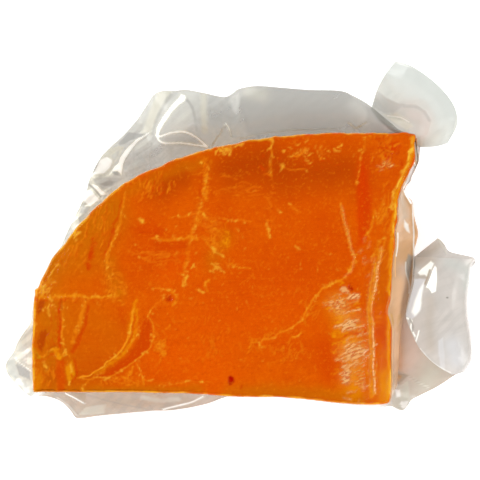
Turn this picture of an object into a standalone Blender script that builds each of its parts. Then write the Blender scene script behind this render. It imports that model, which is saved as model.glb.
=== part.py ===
"""A slice of mimolette, sealed under vacuum in a clear pouch.

The slice is a quarter of the ball's upright section, cut about 28 mm thick, and it lies on one cut face.
The pouch clings to it all round. What stands free of the cheese is the pouch's welded margin: a loose
skirt about half way up the wall, with wide flaps, a corner that curls up and a corner that is rolled over.

Metres, +Z up. The origin is on the underside, at the middle of the slice's length and height.
+X runs along the straight cut towards the ball's axis, +Y from the ball's equator towards its top.
"""

import math

import bmesh
import bpy
import numpy as np

MM = 0.001

# The ball that the slice was cut from, and where its middle lies
BALL_RADIUS = 102 * MM
BALL_HALF_HEIGHT = 74 * MM
BALL_SQUARENESS = 2.6
BALL_MIDDLE = (46 * MM, -36 * MM)

# The slice: its thickness at the rind and at the axis, and the softened edge all round each face
THICKNESS_AT_RIND = 30 * MM
THICKNESS_AT_AXIS = 25.5 * MM
RIND_END = -53.6 * MM
AXIS_END = 53.7 * MM
EDGE_ROUND = 1.1 * MM
WALL_ROWS = 3

# The three cut sides in plan, from corner to corner. The fourth side is the ball's own outline.
RIND_CORNER_X = -52.2 * MM
EQUATOR_CUT = ((-53.4, -34.6), (-20, -34.9), (10, -35.5), (23, -36.7), (39, -38.4), (46.7, -37.2))
AXIS_BREAK = (
    (46.7, -37.2), (46.8, -19), (46, -11), (46.9, -5),
    (47.3, 7), (48.7, 22), (52.6, 30), (53.7, 37.7),
)
TRIMMED_RIND = ((-53.4, -34.6), (-53.7, -24), (-53.4, -15), (-52.2, -6.3))

# How many faces run along and across the cut face, and how much its corners are worn round
FACE_COLUMNS = 54
FACE_ROWS = 36
CORNER_WEAR_PASSES = 2

# Where the wall is the ball's own skin, in plan: above this y and short of this x
SKIN_FROM_Y = -8 * MM
SKIN_TO_X = 47 * MM
CUT_WALL_LEAN = 0.15

# The slow swell of a face that was cut by hand: height, and the lengths of its waves
SWELL_HEIGHT = 0.18 * MM
LONG_WAVE = (17 * MM, 13 * MM)
SHORT_WAVE = (7 * MM, 9 * MM)

# The pouch: the stand-in thickness of its two welded films, and its gap to the cheese
FILM_THICKNESS = 0.8 * MM
FILM_GAP = 0.35 * MM
MARGIN_HEIGHT = 12 * MM
FILM_COLUMNS = 140
FILM_ROWS = 5
FLAP_SPREAD = 9 * MM

# Marks in the upper cut face: name, route in plan, half width, height (all mm). A negative height sinks.
MARKS = (
    ("crescent rim", ((-21.3, -11.6), (-19.8, -17), (-22, -23.4), (-30.5, -29.2), (-40.3, -31.2)), 1.0, 0.35),
    ("crescent lip", ((-24.9, -9.6), (-24.6, -15), (-29.7, -24.2), (-38.9, -29.8)), 1.1, 0.6),
    ("crescent gouge", ((-23, -12), (-22.2, -18), (-26, -24.5), (-35, -29.3)), 1.6, -0.7),
    ("seam above the trimmed rind", ((-52.9, -8), (-45.9, -6.8), (-34.7, -6.8), (-23.5, -10.2)), 1.2, 0.5),
    ("knife step", ((-3.4, 30.4), (-5.9, 19.2), (-9.5, -0.4), (-11.5, -9.6)), 1.3, 0.45),
    ("long score", ((-26.9, 22), (-29.7, 12.2), (-32.5, -1.8)), 1.1, 0.4),
    ("upper step", ((12.3, 36), (11.5, 15), (12.9, 8)), 1.3, 0.4),
    ("axis fold", ((48.2, 13), (42, 1.8), (40.3, -8.8), (40.8, -22), (41.4, -36)), 1.2, 0.9),
    ("thin crease", ((33, 17), (34.7, 10.2), (36.1, 3.5)), 0.8, 0.5),
    ("facet edge", ((46, 19), (41.4, 8), (29.7, -6.8), (18.5, -17.2), (7.3, -21.4)), 1.3, 0.5),
    ("ringed eye", ((-15.3, -8), (-14.9, -8)), 1.1, -0.9),
    ("dark eye", ((2, -30.8), (2, -31.6)), 0.9, -1.0),
    ("rind nick", ((-42.4, 9), (-40.8, 8)), 1.4, -0.8),
    ("top nick", ((-0.6, 34), (1.6, 32)), 1.6, -0.8),
)

# Broad facets that fall away: a line through (x, y), the way down in plan, and the fall in mm for each mm
FACETS = (
    ("towards the axis", (39, 0), (1.0, 0.0), 0.16),
    ("lower axis corner", (30, -13), (0.75, -0.66), 0.055),
    ("trimmed rind", (-43, -20), (-1.0, 0.0), 0.13),
    ("upper rind", (-35, 12), (-0.82, 0.57), 0.07),
)

# The margin's free edge, clockwise from the lower rind corner. Each flap has the height of its root on the
# wall, how far it arches between root and edge, and its edge as points (x, y, height), all in mm.
FLAPS = (
    ("lip under the left side", 10, 0, ((-53.6, -37.2, 9),)),
    ("left flap", 10, 1, (
        (-58.2, -37, 7), (-62, -33, 7), (-63.9, -28.8, 8), (-60.6, -22, 9), (-56, -16, 10),
    )),
    ("lip on the rind", 11, 0, ((-54.8, -9, 11), (-52.2, -1, 11), (-47.5, 7.4, 11))),
    ("crumpled flap", 12, 1, ((-42.2, 17, 12), (-39.3, 25.2, 13), (-34, 33.5, 15), (-26.2, 41, 14))),
    ("raised fold", 12, 3, ((-21.5, 48, 17), (-16.5, 51, 19), (-8, 50.6, 20), (1, 49.2, 15))),
    ("broad flap", 13, 2, (
        (7, 52, 17), (22, 51.2, 19), (34.3, 50.3, 18), (40.5, 47.6, 17), (43.4, 45.2, 15),
    )),
    ("curled corner", 8, 6, (
        (43.2, 47.6, 10), (44.5, 53, 14), (48.5, 58.8, 17), (57.7, 55, 18), (66.2, 45, 17), (64.8, 36.8, 14),
    )),
    ("lip at the axis corner", 10, 0, ((57, 34.6, 11), (56, 29.5, 11), (52.3, 23.6, 11))),
    ("bridging film", 13, 1, ((54.6, 16, 14), (55.8, 10, 15), (54.8, 5.5, 12))),
    ("rolled corner", 9, 1, (
        (62.2, 8.7, 12), (70.6, 1, 13), (70, -10.5, 13), (71, -21, 13), (67.5, -30.6, 11), (58, -36.6, 9),
    )),
    ("lower axis lip", 9, 0, (
        (51.6, -41.2, 8), (46, -40.6, 10), (38, -40.4, 10), (22, -38.5, 10), (3, -37.6, 9),
    )),
    ("lower flap", 9, 0, ((-12, -41, 7), (-26, -42.8, 6), (-38, -44, 5), (-43.6, -44.2, 4), (-46.5, -41, 6))),
)

# The corner that is rolled back over the margin: rows across the roll, from the margin's edge to the free
# edge, each as (x, height) at the roll's upper end, its middle and its lower end; mm
ROLL_ENDS_Y = (4.6, -10, -24, -31)
ROLL_ROWS = (
    ((64, 12.6), (64, 12.8), (64.5, 12.8), (62, 10.6)),
    ((71.5, 13.6), (70.2, 13.8), (71.4, 13.8), (66.5, 11.2)),
    ((72.6, 17.5), (70.6, 17.8), (72.2, 16.4), (67.2, 12.6)),
    ((66, 19.8), (64, 20.4), (66, 18.6), (65.5, 13.6)),
    ((55.5, 18.4), (54.5, 19), (57.5, 18), (64.5, 13.8)),
)


def clear_scene():
    """Removes the objects of the startup scene."""
    for thing in list(bpy.data.objects):
        bpy.data.objects.remove(thing)


def smooth_path(points, count, closed=False):
    """count points, evenly spaced, on a smooth curve through the points given (Catmull-Rom)."""
    knots = np.array(points, float)
    if closed:
        knots = np.vstack([knots[-1], knots, knots[:2]])
    else:
        knots = np.vstack([2 * knots[0] - knots[1], knots, 2 * knots[-1] - knots[-2]])
    steps = np.linspace(0, 1, 16, endpoint=False)[:, None]
    pieces = []
    for before, start, end, after in zip(knots, knots[1:], knots[2:], knots[3:]):
        bend = 2 * before - 5 * start + 4 * end - after
        twist = 3 * start - before - 3 * end + after
        pieces.append(start + 0.5 * steps * (end - before + steps * (bend + steps * twist)))
    line = np.vstack([*pieces, knots[-2][None]])
    return evenly(line, count, closed)


def evenly(line, count, closed=False):
    """count points, evenly spaced, along a line of many points."""
    run = np.r_[0, np.cumsum(np.linalg.norm(np.diff(line[:, :2], axis=0), axis=1))]
    stops = np.linspace(0, run[-1], count, endpoint=not closed)
    return np.column_stack([np.interp(stops, run, column) for column in line.T])


def rind_curve(count):
    """The ball's outline from the trimmed rind up to the corner at the axis."""
    x = np.linspace(RIND_CORNER_X, AXIS_END, 40 * count)
    across = np.abs((x - BALL_MIDDLE[0]) / BALL_RADIUS) ** BALL_SQUARENESS
    y = BALL_MIDDLE[1] + BALL_HALF_HEIGHT * (1 - across) ** (1 / BALL_SQUARENESS)
    return evenly(np.column_stack([x, y]), count)


def outline_sides(columns, rows):
    """The four sides in plan, corner to corner: equator cut, axis break, ball's outline, trimmed rind."""
    equator = smooth_path(np.array(EQUATOR_CUT) * MM, columns + 1)
    axis = smooth_path(np.array(AXIS_BREAK) * MM, rows + 1)
    rind = smooth_path(np.array(TRIMMED_RIND) * MM, rows + 1)
    ball = rind_curve(columns + 1)
    ball[0], ball[-1] = rind[-1], axis[-1]
    return equator, axis, ball, rind


def outline_loop(columns, rows):
    """The slice's outline in plan as one closed loop, anticlockwise from the lower rind corner."""
    equator, axis, ball, rind = outline_sides(columns, rows)
    loop = np.vstack([equator[:-1], axis[:-1], ball[:0:-1], rind[:0:-1]])
    for _ in range(CORNER_WEAR_PASSES):
        loop = (np.roll(loop, 1, axis=0) + 2 * loop + np.roll(loop, -1, axis=0)) / 4
    return loop


def outward(loop):
    """Unit normals of an anticlockwise loop in plan."""
    run = np.roll(loop, -1, axis=0) - np.roll(loop, 1, axis=0)
    normals = np.column_stack([run[:, 1], -run[:, 0]])
    return normals / np.linalg.norm(normals, axis=1)[:, None]


def four_sides(loop, columns, rows):
    """The loop's lower, right, upper and left side, each from left to right or from bottom to top."""
    corners = (columns, columns + rows, 2 * columns + rows)
    lower = loop[: corners[0] + 1]
    right = loop[corners[0] : corners[1] + 1]
    upper = loop[corners[1] : corners[2] + 1][::-1]
    left = np.vstack([loop[corners[2] :], loop[:1]])[::-1]
    return lower, right, upper, left


def patch(lower, right, upper, left):
    """A grid of plan points between four sides, as rows from the lower side to the upper."""
    v, u = np.meshgrid(np.linspace(0, 1, len(right)), np.linspace(0, 1, len(lower)), indexing="ij")
    u, v = u[..., None], v[..., None]
    between_rows = (1 - v) * lower[None] + v * upper[None]
    between_columns = (1 - u) * left[:, None] + u * right[:, None]
    lower_corners = (1 - v) * ((1 - u) * lower[0] + u * lower[-1])
    upper_corners = v * ((1 - u) * upper[0] + u * upper[-1])
    return between_rows + between_columns - lower_corners - upper_corners


def distance_to(route, x, y):
    """How far each plan point lies from a route, in metres."""
    nearest = np.full(np.shape(x), np.inf)
    for start, end in zip(route, route[1:]):
        way = end - start
        share = np.clip(((x - start[0]) * way[0] + (y - start[1]) * way[1]) / (way @ way), 0, 1)
        away = np.hypot(x - start[0] - share * way[0], y - start[1] - share * way[1])
        nearest = np.minimum(nearest, away)
    return nearest


def upper_face_height(x, y):
    """Height of the upper cut face, with its taper, facets and marks."""
    share = (x - RIND_END) / (AXIS_END - RIND_END)
    height = THICKNESS_AT_RIND + share * (THICKNESS_AT_AXIS - THICKNESS_AT_RIND)
    for _, through, way_down, fall in FACETS:
        past = (x - through[0] * MM) * way_down[0] + (y - through[1] * MM) * way_down[1]
        height = height - fall * np.maximum(past, 0)
    for _, route, half_width, rise in MARKS:
        away = distance_to(np.array(route) * MM, x, y) / (half_width * MM)
        height = height + rise * MM * np.exp(-away * away)
    swell = np.sin(x / LONG_WAVE[0]) * np.cos(y / LONG_WAVE[1])
    ripple = np.sin(x / SHORT_WAVE[0] - y / SHORT_WAVE[1])
    return height + SWELL_HEIGHT * (swell + 0.6 * ripple)


def rind_lean(loop, depth):
    """How far the wall draws in at a depth below the upper face: the ball curves under, the cuts hardly."""
    on_ball = (loop[:, 1] > SKIN_FROM_Y) & (loop[:, 0] < SKIN_TO_X)
    share = np.where(on_ball, 1.0, CUT_WALL_LEAN)
    passes = len(loop) // 30
    for _ in range(passes):
        share = (np.roll(share, 1) + share + np.roll(share, -1)) / 3
    return share * (BALL_RADIUS - np.sqrt(BALL_RADIUS**2 - depth**2))


def extrude_ring(bm, edges, points):
    """Extrudes a loop of edges once and puts the new corners at the points; returns the new edges."""
    grown = bmesh.ops.extrude_edge_only(bm, edges=edges)["geom"]
    new_verts = [item for item in grown if isinstance(item, bmesh.types.BMVert)]
    slot = bm.verts.layers.int["place"]
    for vert in new_verts:
        vert.co = points[vert[slot]]
    outer = set(new_verts)
    edges = [item for item in grown if isinstance(item, bmesh.types.BMEdge)]
    return [edge for edge in edges if outer.issuperset(edge.verts)]


def link(name, mesh, material, collection):
    """A new object for a mesh, shaded smooth between its sharp edges."""
    thing = bpy.data.objects.new(name, mesh)
    collection.objects.link(thing)
    mesh.materials.append(material)
    mesh.shade_smooth()
    mesh.set_sharp_from_angle(angle=math.radians(40))
    return thing


def make_material(name, colour, roughness, alpha=1.0):
    """A Principled BSDF material."""
    material = bpy.data.materials.new(name)
    material.use_nodes = True
    shader = material.node_tree.nodes["Principled BSDF"]
    shader.inputs["Base Color"].default_value = (*colour, 1)
    shader.inputs["Roughness"].default_value = roughness
    shader.inputs["Metallic"].default_value = 0
    shader.inputs["Alpha"].default_value = alpha
    return material


def boundary_places(columns, rows):
    """Index in the outline's loop of each corner on the edge of a grid with those faces, by (column, row)."""
    places = {}
    for column in range(columns):
        places[(column, 0)] = column
        places[(columns - column, rows)] = columns + rows + column
    for row in range(rows):
        places[(columns, row)] = columns + row
        places[(0, rows - row)] = 2 * columns + rows + row
    return places


def build_cheese(collection, material):
    """The slice: a relief face on top, a wall that follows the ball or the cuts, and a flat underside."""
    loop = outline_loop(FACE_COLUMNS, FACE_ROWS)
    normals = outward(loop)
    inner = loop - EDGE_ROUND * normals
    plan = patch(*four_sides(inner, FACE_COLUMNS, FACE_ROWS))

    bpy.ops.mesh.primitive_grid_add(x_subdivisions=FACE_COLUMNS, y_subdivisions=FACE_ROWS, size=1)
    grid = bpy.context.object
    bm = bmesh.new()
    bm.from_mesh(grid.data)
    bpy.data.objects.remove(grid)
    place = bm.verts.layers.int.new("place")
    places = boundary_places(FACE_COLUMNS, FACE_ROWS)
    for vert in bm.verts:
        column = round((vert.co.x + 0.5) * FACE_COLUMNS)
        row = round((vert.co.y + 0.5) * FACE_ROWS)
        x, y = plan[row, column]
        vert.co = (x, y, upper_face_height(x, y))
        vert[place] = places.get((column, row), -1)

    rim = upper_face_height(loop[:, 0], loop[:, 1])
    corner_cut = EDGE_ROUND * (1 - math.sqrt(0.5))
    levels = [(corner_cut, rim - corner_cut), (0, rim - EDGE_ROUND)]
    for step in range(1, WALL_ROWS):
        levels.append((0, rim + (EDGE_ROUND - rim) * step / WALL_ROWS))
    levels += [(0, np.full(len(rim), EDGE_ROUND)), (corner_cut, corner_cut), (EDGE_ROUND, 0)]
    edges = [edge for edge in bm.edges if edge.is_boundary]
    for inset, height in levels:
        height = np.broadcast_to(height, rim.shape)
        plan_ring = loop - normals * (inset + rind_lean(loop, rim - height))[:, None]
        edges = extrude_ring(bm, edges, np.column_stack([plan_ring, height]))
    bmesh.ops.contextual_create(bm, geom=edges)
    bmesh.ops.recalc_face_normals(bm, faces=bm.faces)
    mesh = bpy.data.meshes.new("cheese_slice")
    bm.to_mesh(mesh)
    bm.free()
    return link("cheese_slice", mesh, material, collection)


def margin_edge():
    """The margin's free edge as many points (x, y, height), each with its flap's root height and arch."""
    stations = [(*point, root, arch) for _, root, arch, edge in FLAPS for point in edge]
    return smooth_path(np.array(stations) * MM, 8 * FILM_COLUMNS, closed=True)


def margin_wall():
    """The wall's outline at the height that the margin springs from, just clear of the cheese."""
    loop = outline_loop(4 * FACE_COLUMNS, 4 * FACE_ROWS)
    depth = upper_face_height(loop[:, 0], loop[:, 1]) - MARGIN_HEIGHT
    clear = FILM_GAP + FILM_THICKNESS / 2 - rind_lean(loop, depth)
    return loop + clear[:, None] * outward(loop)


def margin_roots(edge, wall):
    """For each point of the free edge, the place on the wall that it springs from, spread out at corners."""
    run = np.r_[0, np.cumsum(np.linalg.norm(np.diff(wall, axis=0), axis=1))]
    length = run[-1] + np.linalg.norm(wall[0] - wall[-1])
    gaps = np.linalg.norm(edge[:, None, :2] - wall[None], axis=2)
    place = np.unwrap(run[gaps.argmin(axis=1)] / length * 2 * math.pi)
    turns = np.sign(place[-1] - place[0])
    even = turns * np.linspace(0, 2 * math.pi, len(edge), endpoint=False)
    stray = place - even
    reach = round(len(edge) * FLAP_SPREAD / length)
    weights = np.exp(-0.5 * (np.arange(-3 * reach, 3 * reach + 1) / reach) ** 2)
    padded = np.r_[stray[-3 * reach :], stray, stray[: 3 * reach]]
    place = even + np.convolve(padded, weights / weights.sum(), mode="valid")
    ahead = np.mod(place, 2 * math.pi) * length / (2 * math.pi)
    closed = np.vstack([wall, wall[:1]])
    return np.column_stack([np.interp(ahead, np.r_[run, length], closed[:, axis]) for axis in (0, 1)])


def margin_section(root, edge, share):
    """Points of the margin at a share of the way from its root on the wall to its free edge."""
    start = np.column_stack([root, edge[:, 3]])
    arch = edge[:, 4] * 4 * share * (1 - share)
    points = start + share * (edge[:, :3] - start)
    points[:, 2] += arch
    return points


def build_margin(collection, material):
    """The margin all round the slice, one closed skirt with thickness."""
    edge = margin_edge()
    root = margin_roots(edge, margin_wall())
    steps = np.hypot(*np.diff(edge[:, :2], axis=0).T) + np.hypot(*np.diff(root, axis=0).T)
    run = np.r_[0, np.cumsum(steps)]
    picks = np.searchsorted(run, np.linspace(0, run[-1], FILM_COLUMNS, endpoint=False))
    edge, root = edge[picks], root[picks]

    bm = bmesh.new()
    place = bm.verts.layers.int.new("place")
    ring = bmesh.ops.create_circle(bm, segments=FILM_COLUMNS, radius=1)["verts"]
    for number, vert in enumerate(ring):
        vert[place] = number
        vert.co = margin_section(root, edge, 0.0)[number]
    edges = list(bm.edges)
    for step in range(1, FILM_ROWS + 1):
        edges = extrude_ring(bm, edges, margin_section(root, edge, step / FILM_ROWS))
    bmesh.ops.recalc_face_normals(bm, faces=bm.faces)
    mesh = bpy.data.meshes.new("vacuum_pouch")
    bm.to_mesh(mesh)
    bm.free()
    margin = link("vacuum_pouch", mesh, material, collection)
    thicken(margin)
    return margin


def thicken(sheet):
    """Gives an open sheet the films' thickness."""
    solid = sheet.modifiers.new("film thickness", "SOLIDIFY")
    solid.thickness = FILM_THICKNESS
    solid.offset = 0


def build_roll(collection, material):
    """The corner that is rolled back over the margin, from a coarse cage."""
    rows, columns = len(ROLL_ROWS), len(ROLL_ENDS_Y)
    bpy.ops.mesh.primitive_grid_add(x_subdivisions=rows - 1, y_subdivisions=columns - 1, size=1)
    roll = bpy.context.object
    roll.name = "rolled_corner"
    for vert in roll.data.vertices:
        row = round((vert.co.x + 0.5) * (rows - 1))
        column = round((vert.co.y + 0.5) * (columns - 1))
        x, height = ROLL_ROWS[row][column]
        vert.co = (x * MM, ROLL_ENDS_Y[column] * MM, height * MM)
    roll.data.materials.append(material)
    for old in roll.users_collection:
        old.objects.unlink(roll)
    collection.objects.link(roll)
    smooth = roll.modifiers.new("smooth cage", "SUBSURF")
    smooth.levels = smooth.render_levels = 2
    thicken(roll)
    return roll


def join(base, *others):
    """Unites closed pieces into the first one, and removes the others."""
    for other in others:
        union = base.modifiers.new("union", "BOOLEAN")
        union.operation = "UNION"
        union.solver = "EXACT"
        union.object = other
    united = bpy.data.meshes.new_from_object(base.evaluated_get(bpy.context.evaluated_depsgraph_get()))
    base.modifiers.clear()
    base.data = united
    for other in others:
        bpy.data.objects.remove(other)


def main():
    """Builds the slice and its pouch."""
    clear_scene()
    parts = bpy.data.collections.new("mimolette_pack")
    bpy.context.scene.collection.children.link(parts)
    cheese = make_material("annatto cheese", (0.72, 0.15, 0.004), 0.35)
    film = make_material("clear film", (0.72, 0.71, 0.67), 0.12, alpha=0.35)
    build_cheese(parts, cheese)
    join(build_margin(parts, film), build_roll(parts, film))


main()
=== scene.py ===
"""The look of a vacuum-packed slice of mimolette, seen from straight above.

The frame's two solids are dressed: the cheese gets its cut marks, scores, crumbs and rind, and the clear
pouch becomes a film that clings to the cheese, a crumpled margin, a curled corner and a rolled corner.

Metres, +Z up, in the frame's own axes. A place that was read off the photograph stays a pixel of its
480 x 480 frame, under a name, and the Photo class turns it into metres.
"""

import logging
import math
from dataclasses import dataclass, field
from enum import Enum, IntEnum
from typing import Any, Callable, Sequence

import bmesh
import bpy
import numpy as np
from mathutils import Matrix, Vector


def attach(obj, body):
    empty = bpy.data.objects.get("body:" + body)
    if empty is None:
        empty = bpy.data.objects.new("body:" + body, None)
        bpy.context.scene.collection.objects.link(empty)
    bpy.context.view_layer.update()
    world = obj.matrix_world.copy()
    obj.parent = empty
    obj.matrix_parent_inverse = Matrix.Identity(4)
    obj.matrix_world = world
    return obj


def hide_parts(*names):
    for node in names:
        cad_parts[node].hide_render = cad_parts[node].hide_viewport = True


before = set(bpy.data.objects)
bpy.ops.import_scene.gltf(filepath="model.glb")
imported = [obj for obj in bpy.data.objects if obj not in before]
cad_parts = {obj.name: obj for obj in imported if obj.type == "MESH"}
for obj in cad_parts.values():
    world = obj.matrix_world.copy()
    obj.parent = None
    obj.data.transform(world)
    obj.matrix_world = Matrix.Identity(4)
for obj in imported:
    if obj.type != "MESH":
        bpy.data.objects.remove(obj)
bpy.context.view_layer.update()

MM = 0.001
BODY = "root"
CHEESE_SLOT = "cheese"
FILM_SLOT = "film"

# The grid on the cheese's upper face, and the rings of faces round its rim
FACE_COLUMNS = 312
FACE_ROWS = 224
RIM_RINGS = 4

# Half width of the finest stroke that the meshes can carry
FINEST = 0.23 * MM
# Half width in pixels from which a mark on a loose sheet is a broad patch with soft sides
BROAD_FROM = 3.5
# How far strokes on loose film stray from their routes, as a share of how far they do on the cheese
LOOSE_STRAY = 0.2
# Where the shade of a raised stroke falls, in its half widths, to the right and up
SHADE_SHIFT = (1.0, -1.3)
# Crumbs beside a lip: how far apart they lie along it, how far they stray from it and how long they are
CRUMB_SPACING = 0.9 * MM
CRUMB_STRAY = 0.1 * MM
CRUMB_LENGTH = 0.3 * MM
# Points that a smooth path gets between two of the places that it passes through
SPAN_STEPS = 16
# Crumples of loose film, coarse and fine: width of a facet, share of the whole depth, and which crumpling
CRUMPLES = ((5 * MM, 0.75, 70), (2.2 * MM, 0.3, 80))
# Which way in plan the window's light runs, by which a crumple's facets are pale or dark
LIGHT_RUNS = (0.8, -0.6)

log = logging.getLogger("mimolette")

Colour = tuple[float, float, float]
Stretch = tuple[float, float, float]
Route = tuple[tuple[float, ...], ...]


@dataclass(frozen=True)
class Photo:
    """How the photograph was taken: straight down on the slice, a pixel being 0.28 mm on its upper face."""

    size: int = 480
    pixel: float = 0.28 * MM
    middle: tuple[float, float] = (4.5 * MM, 8.0 * MM)
    distance: float = 450 * MM
    face_height: float = 28 * MM
    sensor_width: float = 36
    clip_start: float = 10 * MM

    def plan(self, route: Sequence, height: float | np.ndarray) -> np.ndarray:
        """Where the rays through some pixels meet a height.

        Args:
            route: Pixels as (x, y), counted from the upper left.
            height: Height above the floor, in metres, one for all or one for each pixel.

        Returns:
            Plan places in metres, one row for each pixel.
        """
        pixels = np.asarray(route, float)[:, :2]
        reach = (self.distance + self.face_height - np.asarray(height, float)) / self.distance
        across = (pixels[:, 0] - self.size / 2) * self.pixel * reach + self.middle[0]
        up = (self.size / 2 - pixels[:, 1]) * self.pixel * reach + self.middle[1]
        return np.column_stack([across, up])

    def space(self, route: Sequence) -> np.ndarray:
        """Turns points given as (pixel x, pixel y, height in mm) into metres (x, y, z)."""
        points = np.asarray(route, float)
        height = points[:, 2] * MM
        return np.column_stack([self.plan(points, height), height])

    def take(self) -> None:
        """Sets up the camera that saw the slice."""
        above = self.face_height + self.distance
        bpy.ops.object.camera_add(location=(*self.middle, above), rotation=(0, 0, 0))
        camera = bpy.context.object
        camera.name = "photo_camera"
        camera.data.sensor_width = self.sensor_width
        camera.data.lens = self.sensor_width * self.distance / (self.size * self.pixel)
        camera.data.clip_start = self.clip_start
        bpy.context.scene.camera = camera


PHOTO = Photo()


@dataclass(frozen=True)
class Brush:
    """What a stroke leaves: its colour, how far it lifts the surface (mm), and how milky it turns the film.

    On the film, milk also makes its painted highlights and painted shade opaque.
    A smooth one isn't broken up as the others are on the cheese.
    """

    tint: Colour
    rise: float = 0.0
    milk: float = 0.0
    smooth: bool = False


class Kind(Enum):
    """The kinds of mark on the cheese, painted shadows and highlights among them, and of milkiness and
    painted light and shade in the film.
    """

    LIP = Brush((0.84, 0.235, 0.005), rise=0.05)
    SCRATCH = Brush((0.84, 0.205, 0.005), rise=0.02)
    HOT = Brush((0.89, 0.29, 0.008), rise=0.04, smooth=True)
    CRUMB = Brush((0.89, 0.41, 0.025), rise=0.07)
    OLIVE = Brush((0.58, 0.27, 0.004))
    # Dark red grooves and cracks, and also painted shadow laid beside lips, rims and ledges
    GROOVE = Brush((0.64, 0.058, 0.0005), rise=-0.06)
    PIT = Brush((0.46, 0.004, 0.0005), rise=-0.5)
    RUST = Brush((0.68, 0.064, 0.0004))
    BROWN = Brush((0.47, 0.050, 0.0008))
    TAN = Brush((0.60, 0.143, 0.0012))
    AMBER = Brush((0.88, 0.33, 0.003))
    BLAZE = Brush((0.82, 0.103, 0.0005))
    RED = Brush((0.70, 0.045, 0.0004))
    # Painted yellow highlight on the broken edge's threads and in the lower axis corner
    SUN = Brush((1.0, 0.58, 0.045), rise=0.2)
    # Painted highlights of the gloss on the film that clings to the cheese; the crease is also the film's own
    # milky fold
    GLINT = Brush((1.0, 0.43, 0.075), rise=0.03, milk=0.8)
    GLEAM = Brush((1.0, 0.55, 0.21), rise=0.03, milk=0.86)
    CREASE = Brush((1.0, 0.42, 0.06), rise=0.05, milk=0.66)
    # Painted white highlight on the film
    WHITE = Brush((1.0, 1.0, 0.93), rise=0.04, milk=0.97)
    # Milky white film, partly painted highlight
    SNOW = Brush((0.97, 0.96, 0.90), milk=0.92)
    PEARL = Brush((0.62, 0.62, 0.55), milk=0.52)
    # Painted shade and dark reflection in the film
    SMOKE = Brush((0.335, 0.332, 0.29), milk=0.52)
    # Painted shade in the film's dark folds and facets, and a dark speck
    GREY = Brush((0.27, 0.265, 0.225), rise=-0.04, milk=0.6)
    CREAM = Brush((0.80, 0.78, 0.65), milk=0.66)
    MUSHROOM = Brush((0.56, 0.44, 0.30), milk=0.7)
    ICE = Brush((0.73, 0.765, 0.72), milk=0.66)
    PEACH = Brush((0.80, 0.44, 0.17), milk=0.65)
    APRICOT = Brush((1.0, 0.61, 0.33), milk=0.8)
    GOLD = Brush((0.80, 0.42, 0.09), milk=0.7)
    ROSE = Brush((0.90, 0.68, 0.55), milk=0.56)
    LILAC = Brush((0.87, 0.865, 0.87), milk=0.8)
    SILK = Brush((0.83, 0.79, 0.745), milk=0.62)


@dataclass(frozen=True)
class Mark:
    """One stroke: its kind, its route and half width in pixels, its strength and its height (mm).

    A rise, in mm, takes the place of the one that its kind has.
    """

    name: str
    kind: Kind
    route: Route
    half_width: float
    strength: float
    height: float = 28
    rise: float | None = None


@dataclass(frozen=True)
class Patch(Mark):
    """A filled mark: its route is a closed outline, and its half width is how soft its sides are."""


@dataclass(frozen=True)
class Field:
    """A patch of short strokes alike: where it lies and how far it spreads, in pixels, and how they run.

    With a pitch, in pixels, the strokes lie in rows that far apart.
    """

    name: str
    kind: Kind
    centre: tuple[float, float]
    spread: tuple[float, float]
    count: int
    length: float
    angle: float
    jitter: float
    half_width: float
    strength: float
    pitch: float = 0

    def align(self, spot: np.ndarray) -> np.ndarray:
        """Moves a spot up or down to the nearest of the patch's rows."""
        right, down = spot - self.centre
        slope = math.tan(math.radians(self.angle))
        row = round((down + slope * right) / self.pitch)
        return np.array([spot[0], self.centre[1] + row * self.pitch - slope * right])


@dataclass(frozen=True)
class Flap:
    """A stretch of the margin: its film, its root's height and arch (mm), its milk, its crumples (mm)."""

    name: str
    kind: Kind
    root: float
    arch: float
    milk: float
    crumple: float
    edge: Route


class Station(IntEnum):
    """What the columns of a point on the margin's free edge hold, after its place in space."""

    ROOT = 3
    ARCH = 4
    MILK = 5
    CRUMPLE = 6
    TINT = 7
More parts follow.
